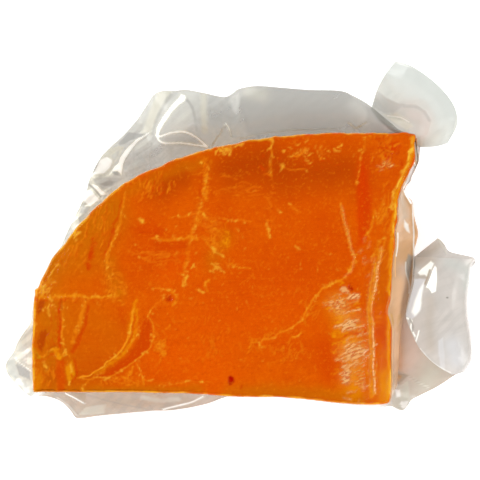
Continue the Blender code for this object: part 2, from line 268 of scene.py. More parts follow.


# Broad patches of colour on the cut face, painted gloss washes and a painted highlight in the lower corner
# among them
ZONES = (
    Mark("dark upper middle", Kind.BROWN, ((232, 168), (262, 160)), 24, 0.85),
    Mark("dark patch by the ball's top", Kind.BROWN, ((160, 188), (182, 176)), 15, 0.8),
    Mark("brown upper right", Kind.BROWN, ((285, 175), (350, 170)), 24, 0.75),
    Mark("rust left of the crease", Kind.RUST, ((318, 215), (335, 240)), 20, 0.5),
    Mark("rust right of the film line", Kind.RUST, ((367, 160), (364, 205)), 9, 0.8),
    Patch("red right of the film line", Kind.RED, ((357, 178), (361, 158), (367, 166), (371, 200),
        (370, 225), (364, 244), (358, 247), (356.5, 215)), 2.6, 0.75),
    Patch("red by the upper axis corner", Kind.RED, ((384, 152), (390, 143), (399, 140), (402, 146),
        (395, 152), (391, 159), (387, 161)), 1.8, 0.8),
    Mark("rust heart", Kind.RUST, ((225, 300), (300, 270)), 34, 0.45),
    Mark("rust under the ledge", Kind.RUST, ((150, 250), (180, 262)), 12, 0.6),
    Mark("rust over the ledge", Kind.RUST, ((130, 229), (160, 230)), 6, 0.8),
    Mark("rust lower right", Kind.RUST, ((325, 345), (330, 372)), 13, 0.85),
    Mark("rust lower middle", Kind.RUST, ((285, 345), (300, 350)), 14, 0.5),
    Mark("rust beside the ridge", Kind.RUST, ((379, 330), (386, 338)), 7, 0.8),
    Mark("tan trimmed block", Kind.TAN, ((50, 310), (52, 385)), 26, 0.9),
    Mark("brown of the foot", Kind.BROWN, ((50, 376), (104, 376)), 12, 0.4),
    Mark("ochre of the foot's corner", Kind.AMBER, ((38, 376), (37, 388)), 4, 0.4),
    Mark("red in the disc", Kind.RUST, ((121, 311), (124, 328)), 4.5, 0.8),
    Mark("rust low in the disc", Kind.RUST, ((84, 366), (100, 362)), 8, 0.45),
    Mark("tan disc", Kind.TAN, ((92, 318), (112, 340), (90, 362)), 24, 0.4),
    Mark("tan foot", Kind.TAN, ((60, 391), (200, 390)), 6, 0.9),
    Mark("tan foot of the axis side", Kind.TAN, ((230, 392), (320, 394), (360, 400)), 8, 0.75),
    Mark("tan shoulder", Kind.TAN, ((50, 272), (76, 240), (110, 206)), 17, 0.95),
    Mark("olive band of the shoulder", Kind.OLIVE, ((47, 262), (60, 243), (80, 221)), 4, 0.75),
    Mark("tan crown", Kind.TAN, ((130, 190), (175, 170), (205, 162)), 7, 0.6),
    Mark("tan upper left field", Kind.TAN, ((85, 262), (112, 225)), 18, 0.6),
    Mark("tan wrinkle field", Kind.TAN, ((108, 262), (118, 292)), 9, 0.7),
    Mark("tan smear", Kind.TAN, ((226, 236), (212, 262)), 9, 0.5),
    Mark("amber axis edge", Kind.AMBER, ((414, 138), (411, 160), (398, 188), (394, 212), (392, 250),
        (389, 290)), 2.2, 0.8),
    Mark("amber axis edge, low", Kind.AMBER, ((388, 318), (389, 335), (389, 398)), 2, 0.85),
    Mark("sun in the lower corner", Kind.SUN, ((384, 382), (387, 390)), 4, 0.45),
    Mark("tan axis strip", Kind.TAN, ((384, 250), (380, 300)), 8, 0.4),
    Mark("amber lower corner", Kind.AMBER, ((384, 376), (386, 398)), 7, 0.7),
    Mark("amber glossy field", Kind.AMBER, ((336, 304), (352, 345), (354, 388)), 12, 0.62),
    Mark("wash over the gloss, middle", Kind.GLINT, ((336, 302), (352, 324), (358, 320)), 6, 0.35),
    Mark("wash over the gloss, lower", Kind.GLINT, ((345, 351), (362, 347), (357, 361), (348, 376)), 6,
        0.4),
    Mark("bright field below", Kind.BLAZE, ((170, 360), (215, 372)), 24, 0.6),
    Mark("bright field middle", Kind.BLAZE, ((200, 330), (290, 310)), 30, 0.4),
    Mark("bright left of the knife line", Kind.BLAZE, ((168, 275), (185, 262)), 14, 0.5),
)

# Single marks in the cut face and in the film that clings to it, among them painted shadows beside lips, rims
# and ledges, and painted highlights on the broken edge, the film's ridge and its gloss
MARKS = (
    Mark("rim of the trimmed block", Kind.LIP, ((35, 297), (50, 296.6), (63, 297.4), (79, 296), (91, 298),
        (107, 297), (119, 296)), 1, 0.5, rise=0.1),
    Mark("shadow under that rim", Kind.GROOVE, ((35, 300), (50, 299.6), (63, 300.4), (79, 299), (100, 300)),
        1.3, 0.5),
    Mark("band above that rim", Kind.AMBER, ((40, 297), (63, 296), (104, 297), (122, 292)), 2, 0.25),
    Patch("left streak, upper", Kind.BROWN, ((38, 301), (44, 300), (44.6, 303), (38, 316), (36, 312)), 1.2,
        0.8, rise=-0.03),
    Patch("left streak, lower", Kind.BROWN, ((41, 331), (45, 329.5), (46, 334), (44, 345), (41.5, 352),
        (38.5, 347), (37.4, 340)), 1.2, 0.8, rise=-0.04),
    Mark("second streak", Kind.GROOVE, ((58, 304), (60, 330), (58, 352)), 2, 0.95),
    Mark("second lip", Kind.LIP, ((64, 304), (62, 325), (64, 352)), 1.2, 0.6),
    Mark("disc's left lip", Kind.LIP, ((85, 302), (82, 315), (76, 331), (72, 342)), 2, 0.7, rise=0.03),
    Patch("disc's left shadow", Kind.GROOVE, ((87.5, 304), (89.5, 306), (87, 326), (79, 342), (72.5, 354),
        (69.5, 351), (75, 341), (82, 327)), 1.2, 0.8, rise=-0.1),
    Mark("scalloped line", Kind.LIP, ((33, 350), (39, 356), (44, 354.6), (49, 349.5), (54, 351),
        (59.5, 358.5), (64.5, 352), (68.5, 356)), 0.9, 0.6),
    Mark("scalloped shadow", Kind.GROOVE, ((33, 355), (40, 360), (46, 359), (51, 354), (55, 355), (60, 362),
        (66, 357)), 1.5, 0.55),
    Patch("bead", Kind.AMBER, ((71.3, 360), (74.8, 367), (76.3, 374), (70.5, 380.5), (69.5, 383),
        (66.3, 374), (67.2, 365)), 1.3, 0.65, rise=0.15),
    Mark("bead's light", Kind.CRUMB, ((71.2, 363), (72.8, 371)), 0.7, 0.9),
    Mark("bead's dent", Kind.GROOVE, ((71.6, 374), (73, 376)), 0.9, 0.6),
    Mark("bead's tip", Kind.CRUMB, ((70.1, 381), (69.8, 383)), 1, 1),
    Mark("olive spot at the rind", Kind.OLIVE, ((34.4, 350), (37, 357)), 2.4, 0.85),
    Mark("dark heart of that spot", Kind.BROWN, ((36.2, 354), (37, 355)), 1, 0.9),
    Mark("ochre lumps of the scallops", Kind.AMBER, ((53, 350), (57.6, 351.6), (60, 357)), 2, 0.6),
    Mark("lump by the bead", Kind.CRUMB, ((63, 352), (65, 349)), 1, 0.8),
    Mark("arc over the lumps", Kind.BROWN, ((47, 353), (50, 347.6), (54, 346.6)), 0.8, 0.5),
    Mark("salmon lump", Kind.CRUMB, ((47.6, 308), (49.4, 314)), 1.3, 0.6),
    Mark("brown under the rim", Kind.BROWN, ((60.6, 303), (62.4, 310)), 1.8, 0.6),
    Mark("bead's shadow", Kind.GROOVE, ((74, 361), (77.4, 368), (78, 375), (73, 381)), 1, 0.8),
    Patch("red strip of the foot", Kind.RUST, ((57, 361), (66, 361), (65, 391), (56, 391)), 1.8, 0.7),
    Mark("lump in the block", Kind.CRUMB, ((43, 362), (46.5, 368)), 1.5, 0.6),
    Mark("pale line of the rind edge", Kind.CRUMB, ((34, 301), (33.6, 318), (34, 330), (32.8, 347),
        (33.4, 362), (32.6, 376), (33.4, 389), (38, 392.6)), 0.9, 0.85),
    Mark("ochre beside the crescent", Kind.AMBER, ((136, 300), (134, 312), (129, 330)), 2.2, 0.5),
    Patch("crescent gouge", Kind.GROOVE, ((144, 317), (151.3, 321.8), (152.6, 334), (149.5, 346.8),
        (141.4, 357.5), (127.1, 368.2), (112.9, 374.5), (97, 377), (112, 368.5), (126, 357.5), (136, 344),
        (141.4, 331)), 2, 0.85, rise=-0.12),
    Mark("ochre inside the crescent", Kind.AMBER, ((138, 311), (136, 328), (130.5, 341.5), (122.6, 353.6),
        (109.6, 365), (95, 373.6)), 2, 0.45),
    Mark("crescent lip", Kind.HOT, ((134.7, 310), (131, 326.5), (127, 339.3), (119.4, 352), (106.6, 363.5),
        (92.6, 373), (81, 377.6)), 0.9, 0.95, rise=0.15),
    Mark("crescent's inner line", Kind.SCRATCH, ((138.5, 321), (134.7, 337), (127, 350.8)), 0.8, 0.7),
    Mark("crescent rim", Kind.HOT, ((147.4, 315), (152.6, 324), (153.8, 334), (150, 347), (139.8, 358.4),
        (127, 367.3), (111.7, 375), (96.4, 378.8), (78, 378.5)), 0.7, 0.5),
    Mark("tail of the crescent", Kind.LIP, ((104, 372), (90, 379), (82, 391)), 0.9, 0.6),
    Mark("hair to the eye", Kind.SCRATCH, ((148, 314.4), (153.8, 306), (160.2, 299.7), (165.3, 294.6)), 1,
        0.95),
    Mark("ring of the eye", Kind.LIP, ((172, 291.5), (177, 295), (177.5, 300), (174, 303.5)), 1.3, 0.9),
    Mark("eye", Kind.PIT, ((170, 298.5), (170.3, 297)), 3, 0.75, rise=-0.4),
    Mark("curl under the crescent", Kind.SCRATCH, ((137, 364.8), (143.6, 377.6), (151.3, 381.4)), 0.8, 0.8),
    Mark("fan beside the crescent, low", Kind.LIP, ((158, 349), (164, 346), (165, 355)), 2, 0.7),
    Mark("dark streak", Kind.GROOVE, ((94, 240), (91, 250), (87, 267)), 2.6, 0.9),
    Mark("long score", Kind.LIP, ((124.4, 194), (119.3, 222), (111.6, 245), (106.5, 254), (107, 272),
        (111.6, 280)), 1.3, 0.7),
    Mark("long score's shadow", Kind.GROOVE, ((121, 200), (116, 222), (108, 245), (102, 258)), 1.4, 0.6),
    Mark("lump above the ledge", Kind.CRUMB, ((141, 220), (143.5, 222)), 2, 1),
    Mark("knife line, top", Kind.LIP, ((212.4, 160.8), (206, 177.4), (203.5, 191.4), (202.2, 201.6),
        (198.4, 214.4)), 0.9, 0.35),
    Mark("knife line, foot", Kind.LIP, ((198.4, 214.4), (194.5, 228.4), (189.4, 245), (185.6, 266.7),
        (183, 284)), 1.7, 0.5),
    Mark("knife line's shadow", Kind.GROOVE, ((208, 160), (201.5, 178), (199.5, 200), (194, 218)), 1.2,
        0.45),
    Mark("ledge", Kind.LIP, ((151.2, 238.6), (170.3, 239.9), (189.4, 237.3), (197, 238)), 1.5, 0.75),
    Patch("shadow under the ledge", Kind.GROOVE, ((153, 242), (190, 241.6), (188, 249), (156, 251)), 1.6,
        0.6),
    Mark("shadow over the ledge", Kind.GROOVE, ((138.4, 232.2), (157.6, 233.5)), 1.2, 0.7),
    Mark("yellow crumbs at the ball's edge", Kind.CRUMB, ((218, 148), (224, 155), (226, 151), (232, 148)),
        1.3, 0.7, rise=0.15),
    Mark("yellow tail of the crumbs", Kind.CRUMB, ((236, 147), (243, 144.5)), 1, 0.8),
    Mark("pale crumbs at the shoulder", Kind.CRUMB, ((74.6, 236), (80, 233)), 1.5, 0.8),
    Mark("pale corner", Kind.CRUMB, ((40, 292), (44, 286), (47, 283)), 2.4, 0.6),
    Mark("pale tip of the corner", Kind.CRUMB, ((36.6, 288), (36, 295)), 1.4, 0.8),
    Mark("pale line to the corner", Kind.CRUMB, ((59, 264), (53, 271), (47, 279)), 0.8, 0.7),
    Mark("pale corner's tip", Kind.CRUMB, ((49, 296), (51, 300)), 1.6, 0.7),
    Mark("crumb on the ball's edge", Kind.CRUMB, ((271, 138), (273, 142)), 1.3, 0.9),
    Mark("upper boundary", Kind.LIP, ((271.4, 139), (273, 155), (270, 166), (271.4, 178)), 1.2, 0.5),
    Mark("crumb, square", Kind.CRUMB, ((280.5, 165), (282.5, 168)), 1.3, 0.6),
    Mark("boundary's red bead", Kind.GROOVE, ((262, 166), (264, 169)), 1.6, 0.9),
    Mark("line right of the boundary", Kind.SCRATCH, ((281.6, 168.5), (305.9, 169)), 0.8, 0.6),
    Mark("hook, first", Kind.SCRATCH, ((293, 155), (299, 156), (303, 153), (306, 148)), 0.9, 0.9),
    Mark("hook, second", Kind.SCRATCH, ((321, 150), (323, 155), (320, 160)), 1.2, 0.8),
    Mark("blob in the middle", Kind.CRUMB, ((278, 210), (280, 212)), 1.4, 0.9),
    Mark("pinched crease", Kind.CREASE, ((341.2, 207), (346.5, 228.4), (350.7, 245), (353.7, 257.1)), 1,
        0.95, rise=0.2),
    Mark("pinched crease, hook", Kind.CREASE, ((353.7, 257.1), (351.8, 270.5), (344, 276.9)), 0.8, 0.6,
        rise=0.1),
    Mark("ochre along the crease", Kind.LIP, ((339.6, 206), (345, 229), (349.6, 247), (353.6, 258),
        (350, 271)), 1.3, 0.6),
    Mark("crease's shadow", Kind.GROOVE, ((338.6, 210), (343.4, 229), (347, 246)), 1.1, 0.5),
    Mark("facet edge", Kind.HOT, ((345, 277), (338.6, 282), (331, 284.4), (319.5, 290.8), (314.4, 298.5),
        (306.7, 310), (301.6, 321.4)), 0.9, 0.6, rise=0.05),
    Mark("facet edge, lower", Kind.HOT, ((301.6, 321.4), (288.9, 329), (276, 335.5), (263.4, 340.6),
        (260.8, 346)), 0.9, 0.55),
    Mark("facet hook", Kind.HOT, ((292, 337.6), (296.5, 337.6), (302.4, 334)), 0.8, 1),
    Patch("red dot", Kind.PIT, ((227.8, 376), (230.6, 374.6), (233.6, 376.6), (234, 383), (231.6, 385.6),
        (228.6, 384.4)), 1, 1, rise=-0.2),
    Mark("brown dot", Kind.GROOVE, ((241.6, 386), (241, 389)), 1.2, 0.8),
    Mark("foot line", Kind.SCRATCH, ((159, 384), (184.4, 382), (210, 382.6)), 0.8, 0.5),
    Mark("axis edge, yellow corner", Kind.CRUMB, ((414.5, 135), (411, 136.6), (412, 142)), 1.2, 0.7),
    Patch("axis edge, blob", Kind.SUN, ((408.5, 151), (411, 148.5), (413.5, 146.8), (414, 150.5),
        (412, 153), (410, 152.4)), 0.7, 1, rise=0.35),
    Mark("axis edge, thread", Kind.SUN, ((411.6, 152), (409.6, 156), (408.8, 162), (407, 167),
        (403.6, 172)), 0.9, 1),
    Mark("axis edge, slant", Kind.SUN, ((403.6, 172), (400.4, 178), (397.6, 184), (396, 187)), 1.2, 0.9),
    Mark("axis edge, dark side", Kind.TAN, ((411, 168), (407, 177), (402, 186)), 1.5, 0.8),
    Mark("axis edge, upper thread", Kind.SUN, ((394.4, 190), (392.6, 198), (391.4, 204), (391.6, 209)), 1.2,
        0.8),
    Mark("axis edge, hot line", Kind.SUN, ((394, 203), (395, 208), (394.4, 220), (393.6, 232)), 0.9, 0.8),
    Mark("axis edge, long", Kind.LIP, ((393, 236), (392, 256), (390.6, 276)), 1.2, 0.7, rise=0.2),
    Mark("line of the notch", Kind.GLINT, ((390, 296), (387, 306), (386.7, 312), (389.5, 319),
        (391.4, 326)), 0.8, 0.9),
    Mark("axis edge, low", Kind.SUN, ((391, 370), (390, 381), (389.4, 394)), 0.9, 0.9),
    Mark("fold beside the axis", Kind.LIP, ((376, 209), (371, 228), (366, 235)), 1.6, 0.8),
    Mark("fold beside the axis, second", Kind.LIP, ((392, 228), (381, 242), (372, 260)), 1.4, 0.6),
    Mark("fold beside the axis, third", Kind.LIP, ((385, 195), (380, 215), (378, 226)), 1.3, 0.6),
    Mark("film line down from the top", Kind.LIP, ((364.5, 136.6), (362.6, 152), (359.4, 171),
        (355.6, 184)), 0.9, 0.55),
    Mark("ochre under the ridge", Kind.AMBER, ((380, 250), (373.6, 278), (370.6, 296), (369.6, 309),
        (370.6, 322), (370.6, 345), (371.4, 378), (373, 396)), 3, 0.65),
    Mark("long film ridge", Kind.CREASE, ((382, 248), (375.3, 278), (372.8, 296), (371.4, 308.7),
        (372.4, 321.4), (372.6, 339.3), (372.8, 358.4), (373.4, 377.6), (374.6, 394)), 1.5, 0.9, rise=0.2),
    Mark("bright line of the ridge", Kind.GLEAM, ((373, 326), (373.4, 345), (373, 370), (374.8, 391)), 1,
        0.95),
    Mark("bright line of the ridge, top", Kind.GLEAM, ((378.6, 262), (376.4, 278), (374.4, 292)), 1.1, 0.7),
    Mark("ridge's second line", Kind.CREASE, ((374, 262), (369.4, 290), (367.6, 312), (368.6, 340),
        (369.6, 385)), 0.7, 0.5),
    Mark("long ridge's shadow", Kind.GROOVE, ((376, 256), (370.5, 279), (368, 297), (366.3, 309),
        (367.8, 322), (367.8, 340), (368.4, 360), (369.5, 380)), 1, 0.5),
    Mark("dark pit in the gloss", Kind.PIT, ((350.6, 286), (352.4, 289.6)), 1.7, 0.75),
    Patch("gloss, pale patch", Kind.GLEAM, ((340, 290), (342, 287), (346, 286.6), (349.6, 291), (351, 295),
        (346, 294), (342, 292.4)), 0.9, 0.8),
    Patch("gloss, brightest patch", Kind.GLEAM, ((347, 299), (350, 295.4), (354, 293.4), (359.6, 293.6),
        (360, 297), (357, 299.4), (351, 299.8)), 0.9, 1),
    Patch("gloss, third patch", Kind.GLEAM, ((342, 332), (342.4, 326), (345, 320), (350, 318.6), (351, 322),
        (348, 327), (345, 332)), 1, 0.85),
    Mark("long gloss line", Kind.GLEAM, ((344, 313), (350, 311), (360, 309.4)), 1.1, 0.95),
    Mark("gloss gap", Kind.RUST, ((339, 339), (346, 336), (356, 333), (365, 331)), 1.8, 0.8),
    Mark("pale moon low on the axis side", Kind.GLEAM, ((343, 398), (350, 399.5)), 1.2, 0.6),
    Mark("speck", Kind.CRUMB, ((201, 161.3), (201.6, 162.2)), 0.8, 1),
    Mark("branch of the knife line", Kind.LIP, ((201, 212), (206, 216), (212, 221.6), (219, 222.6)), 1.1,
        0.8),
    Mark("line right of the branch", Kind.SCRATCH, ((219, 218), (236, 219.6), (250, 222.4)), 0.8, 0.7),
    Mark("line across the knife line", Kind.SCRATCH, ((171, 217), (184, 216), (197.6, 213.8)), 0.7, 0.7),
    Mark("tuft under the smear", Kind.CRUMB, ((212.4, 247), (218, 253), (224.6, 257)), 1, 0.8),
    Mark("tick by the knife line", Kind.CRUMB, ((194, 263.6), (193, 268)), 0.9, 0.8),
    Mark("tick at the knife line's foot", Kind.CRUMB, ((187, 276), (184, 281)), 0.9, 0.7),
    Mark("lump below the knife line", Kind.CRUMB, ((199, 289.6), (203, 292)), 1.6, 0.7),
    Mark("comma right of that lump", Kind.LIP, ((208, 280), (204, 286), (207, 290)), 1.2, 0.8),
    Mark("chain under the boundary", Kind.CRUMB, ((267.6, 223), (268.6, 229), (269.4, 236.6)), 1.2, 0.45),
    Mark("slant right of the boundary", Kind.SCRATCH, ((289, 204), (293, 207.6), (297, 213)), 1.1, 0.8),
    Mark("dash in the rust heart", Kind.CRUMB, ((295.4, 245.4), (300, 248.6)), 0.9, 0.45),
    Mark("bar right of the smear", Kind.LIP, ((230, 263), (239, 267.6), (250, 268.6)), 1, 0.7),
    Mark("hair left of the eye", Kind.SCRATCH, ((151, 289.8), (160, 289), (176, 290)), 0.6, 0.8),
)

# Patches of short strokes, their length and width in pixels and their angle anticlockwise from the right
# The gloss patches are painted highlights, and each raised stroke gets a painted shadow beside it
FIELDS = (
    Field("hatching of the smear", Kind.LIP, (213, 240), (9, 13), 40, 7, -35, 14, 0.7, 0.75),
    Field("ochre of the smear", Kind.AMBER, (226, 240), (4, 9), 22, 6, -50, 30, 0.7, 0.4),
    Field("hatches of the knife line", Kind.LIP, (206, 184), (2.5, 24), 60, 3.6, -40, 25, 0.7, 1),
    Field("hatches of its foot", Kind.LIP, (199, 209), (3, 10), 16, 4, -35, 20, 0.7, 0.8),
    Field("bright heart of the smear", Kind.CRUMB, (216, 267), (5, 6), 12, 4, -40, 16, 0.8, 0.7),
    Field("feathers by the knife line", Kind.SCRATCH, (206, 214), (8, 5), 10, 7, -30, 12, 0.8, 0.7),
    Field("strokes right of the knife line", Kind.SCRATCH, (212, 226), (12, 7), 12, 8, -12, 10, 0.7, 0.5),
    Field("wrinkles above the disc", Kind.LIP, (116, 288), (12, 14), 40, 6, -30, 45, 0.8, 0.75),
    Field("wrinkled corner of the band", Kind.LIP, (104, 262), (5, 14), 12, 9, -80, 18, 0.9, 0.6),
    Field("crumbs along the block's rim", Kind.LIP, (70, 298), (24, 2.4), 40, 2.4, 0, 60, 0.8, 0.8),
    Field("crumbs in the block", Kind.CRUMB, (52, 306), (10, 5), 12, 2.5, 0, 90, 0.9, 0.6),
    Field("upright streaks of the block", Kind.GROOVE, (52, 330), (13, 22), 16, 14, 88, 8, 1, 0.5),
    Field("upright streaks of the foot", Kind.LIP, (52, 376), (14, 10), 16, 9, 85, 14, 1, 0.5),
    Field("hatching under the crescent", Kind.LIP, (124, 380), (22, 6), 36, 6, -50, 26, 0.8, 0.65),
    Field("bright strokes beside the crescent", Kind.LIP, (161, 342), (8, 16), 30, 6, 20, 50, 0.8, 0.7),
    Field("strokes on the shoulder", Kind.LIP, (72, 256), (16, 14), 16, 13, 55, 8, 1, 0.45),
    Field("streaks of the upper left", Kind.LIP, (104, 226), (16, 22), 18, 16, 74, 8, 0.8, 0.5),
    Field("dark streaks of the upper left", Kind.GROOVE, (108, 222), (18, 22), 14, 14, 74, 8, 0.9, 0.45),
    Field("streaks under the crown", Kind.LIP, (146, 184), (20, 12), 34, 8, 80, 12, 0.8, 0.65),
    Field("dark streaks under the crown", Kind.GROOVE, (146, 186), (20, 12), 24, 8, 80, 12, 0.9, 0.55),
    Field("specks of the corner", Kind.CRUMB, (45, 288), (6, 6), 34, 3, 50, 50, 0.8, 0.9),
    Field("specks of the shoulder", Kind.CRUMB, (77, 235), (4, 4), 12, 2.5, 30, 60, 0.8, 0.9),
    Field("crumbs at the ball's edge", Kind.CRUMB, (225, 151), (8, 4), 34, 2.5, 30, 60, 0.8, 0.85),
    Field("lines across the middle", Kind.SCRATCH, (160, 254), (26, 8), 22, 16, 1, 3, 0.45, 0.5),
    Field("lines across the upper middle", Kind.SCRATCH, (240, 190), (18, 12), 14, 14, 1, 5, 0.5, 0.45),
    Field("hooks under the ball's edge", Kind.CRUMB, (312, 152), (30, 8), 34, 3.5, 30, 60, 0.8, 0.75),
    Field("red cracks under the ball's edge", Kind.GROOVE, (312, 160), (28, 8), 14, 4, 10, 50, 0.9, 0.6),
    Field("boundary's teeth, lower", Kind.SCRATCH, (270, 205), (4, 30), 16, 5, -35, 35, 0.8, 0.6),
    Field("rubble at the axis corner", Kind.LIP, (384, 152), (10, 16), 44, 5, -50, 55, 0.9, 0.85),
    Field("red rubble at the axis corner", Kind.GROOVE, (384, 150), (11, 15), 30, 5, -45, 50, 1, 0.8),
    Field("loops left of the facet", Kind.LIP, (256, 345), (12, 9), 22, 5, -20, 70, 0.8, 0.65),
    Field("strokes in the facet", Kind.LIP, (292, 350), (22, 14), 30, 6, 80, 45, 0.7, 0.5),
    Field("strokes along the facet's edge", Kind.LIP, (312, 310), (9, 13), 18, 6, 55, 30, 0.8, 0.55),
    Field("chain of the facet's edge", Kind.LIP, (284, 332), (14, 4), 14, 4, 30, 40, 0.8, 0.6),
    Field("gloss wrinkles, top", Kind.GLINT, (336, 305), (12, 8), 54, 5, 20, 8, 1.1, 0.55, 3.2),
    Field("gloss gleams, top", Kind.GLEAM, (336, 303), (9, 5), 16, 4, 20, 10, 0.8, 0.7, 3),
    Field("gloss wrinkles, middle", Kind.GLEAM, (352, 325), (11, 5), 36, 6, 18, 8, 1.25, 0.62, 3.4),
    Field("gloss wrinkles, lower", Kind.GLEAM, (354, 351), (10, 11), 76, 6, 16, 8, 1.25, 0.6, 3.4),
    Field("gloss column", Kind.GLEAM, (346, 378), (4, 12), 40, 4, 25, 14, 1.2, 0.62, 3.2),
    Field("gloss wrinkles, foot", Kind.GLINT, (361, 382), (5, 11), 34, 4, 25, 20, 0.8, 0.8, 3),
    Field("ochre wrinkles in the gloss", Kind.AMBER, (346, 330), (16, 40), 80, 5, 20, 20, 0.8, 0.6),
    Field("pale rubble at the axis corner", Kind.GLINT, (386, 166), (7, 4), 14, 4, 20, 40, 0.7, 0.8),
    Field("ticks beside the ridge", Kind.SCRATCH, (377.5, 314), (2.5, 13), 12, 6, 0, 5, 0.5, 0.7),
    Field("hatch beside the ridge", Kind.LIP, (380, 355), (4, 8), 14, 4, 20, 50, 0.8, 0.8),
    Field("streaks of the axis strip", Kind.LIP, (384, 230), (6, 34), 22, 14, 78, 10, 0.9, 0.6),
    Field("streaks low on the axis strip", Kind.LIP, (383, 380), (4, 12), 10, 8, 84, 12, 0.9, 0.5),
    Field("pink specks by the fold", Kind.GLINT, (366, 258), (9, 16), 16, 3.5, 60, 50, 0.8, 0.5),
    Field("specks all over", Kind.CRUMB, (230, 270), (150, 95), 90, 1.5, 0, 90, 0.6, 0.5),
    Field("faint strokes all over", Kind.SCRATCH, (220, 280), (160, 100), 160, 8, 10, 60, 0.6, 0.3),
    Field("faint dark strokes all over", Kind.GROOVE, (220, 280), (160, 100), 110, 7, 5, 60, 0.8, 0.26),
    Field("strokes on the lower middle", Kind.LIP, (212, 345), (14, 22), 22, 7, 70, 40, 0.8, 0.35),
)

# The margin's free edge, clockwise from the lower rind corner, each point as (pixel x, pixel y, height in mm)
FLAPS = (
    Flap("corner under the rind", Kind.PEARL, 10, 0, 0.15, 0.2, ((34, 397, 9),)),
    Flap("left flap", Kind.CREAM, 10, 1, 0.6, 0.4, ((27, 394, 8), (18, 385, 7), (9.5, 376, 7), (6, 367, 7),
        (8, 360, 8), (14, 352, 8), (18, 342, 9), (25, 331, 10), (31, 322, 10))),
    Flap("lip on the rind", Kind.PEARL, 11, 0, 0.12, 0.3, ((34, 300, 11), (41, 283, 11), (55, 258, 11))),
    Flap("crumpled flap", Kind.PEARL, 12, 1, 0.5, 0.9, ((62, 245, 12), (71, 225, 12), (82, 203, 13),
        (87, 190, 13), (90, 179, 14), (100, 159, 14), (112, 146, 15), (123, 136, 15), (133, 125, 14),
        (140, 116, 14))),
    Flap("raised fold", Kind.PEARL, 12, 3, 0.5, 0.35, ((148, 104, 16), (154, 95, 18), (163, 91, 19),
        (174, 91, 19), (186, 90, 18), (203, 93, 17), (221, 97, 15), (229, 96, 14), (236, 91, 15))),
    # The broad flap's smoky grey is painted shade and dark reflection
    Flap("broad flap", Kind.SMOKE, 13, 2, 0.5, 0.06, ((241, 88.5, 16), (258, 86, 17), (283, 88, 18),
        (309, 90, 18), (340, 91, 18), (353, 96, 18), (364, 102, 17.5), (372, 107.5, 17), (387, 120, 15.5),
        (402, 131.5, 13))),
    Flap("lip at the axis corner", Kind.MUSHROOM, 10, 0, 0.4, 0.3, ((419, 136, 10), (420, 150, 11),
        (416, 168, 11), (404, 192, 11))),
    Flap("seam of the axis side", Kind.PEACH, 13, 1, 0.3, 0.2, ((412, 201, 12), (414, 215, 12.5),
        (417, 230, 13), (417, 240, 13))),
    Flap("under the rolled corner", Kind.MUSHROOM, 9, 1, 0.5, 0.06, ((413, 256, 12), (416, 262, 11),
        (440, 268, 11), (464, 282, 12), (465, 305, 12), (468, 330, 12), (469, 350, 12), (463, 368, 11),
        (450, 378, 11), (436, 387, 10), (422, 394, 9))),
    Flap("lower axis corner", Kind.CREAM, 9, 0, 0.45, 0.5, ((411, 400, 9), (408, 405, 9), (401.5, 410.5, 9),
        (392, 406, 9))),
    Flap("lower lip", Kind.PEARL, 9, 0, 0.1, 0.2, ((380, 407, 10), (350, 405, 10), (310, 400, 10),
        (270, 396.5, 9.5), (235, 396, 9))),
    Flap("lower flap", Kind.MUSHROOM, 9, 0, 0.5, 0.4, ((222, 398, 8), (205, 404, 7), (176, 409.5, 6.5),
        (153, 410.5, 6), (130, 412.5, 5.5), (99, 415.5, 5), (78, 418, 4.5), (72, 412, 5), (66, 405, 6),
        (58, 399.5, 7), (46, 396, 8))),
)

# Broad greys and creams of the margin, then its single folds and gleams: its smoky and dark greys are painted
# shade and dark reflection, its whites painted highlights and its snow partly so
MARGIN_ZONES = (
    Mark("smooth grey of the broad flap", Kind.SMOKE, ((215, 115), (250, 112), (320, 112)), 24, 1, 15),
    Mark("paler end of the broad flap", Kind.PEARL, ((355, 106), (370, 122)), 8, 0.6, 15),
    Mark("pale start of the broad flap", Kind.CREAM, ((248, 92), (262, 96)), 8, 0.5, 15),
    Mark("smooth grey behind the crumples", Kind.SMOKE, ((136, 165), (150, 155), (190, 138)), 13, 0.8, 14),
    Mark("cone beside the stem", Kind.PEARL, ((185, 105), (178, 128)), 10, 0.8, 15),
    Mark("cream crumples", Kind.CREAM, ((106, 168), (93, 190), (78, 222)), 12, 0.9, 14),
    Mark("snow on the left flap", Kind.SNOW, ((18, 380), (28, 390)), 5, 0.9, 8),
    Mark("snow in the left flap's middle", Kind.SNOW, ((27, 348), (26, 360)), 4, 0.6, 8),
    Mark("grey top of the left flap", Kind.MUSHROOM, ((30, 327), (24, 340)), 5, 0.4, 9),
    Mark("lower flap's corner", Kind.MUSHROOM, ((70, 404), (92, 409)), 8, 0.4, 6),
    Mark("lower flap's middle", Kind.MUSHROOM, ((105, 402), (185, 402)), 9, 0.55, 7),
    Mark("under the rolled corner", Kind.ROSE, ((408, 330), (412, 350), (406, 366)), 12, 0.95, 11),
    Mark("lower film by the rolled corner", Kind.CREAM, ((430, 372), (424, 384)), 11, 0.6, 11),
    Mark("warm light by the wall", Kind.APRICOT, ((397, 316), (398, 366)), 7, 0.95, 11),
)

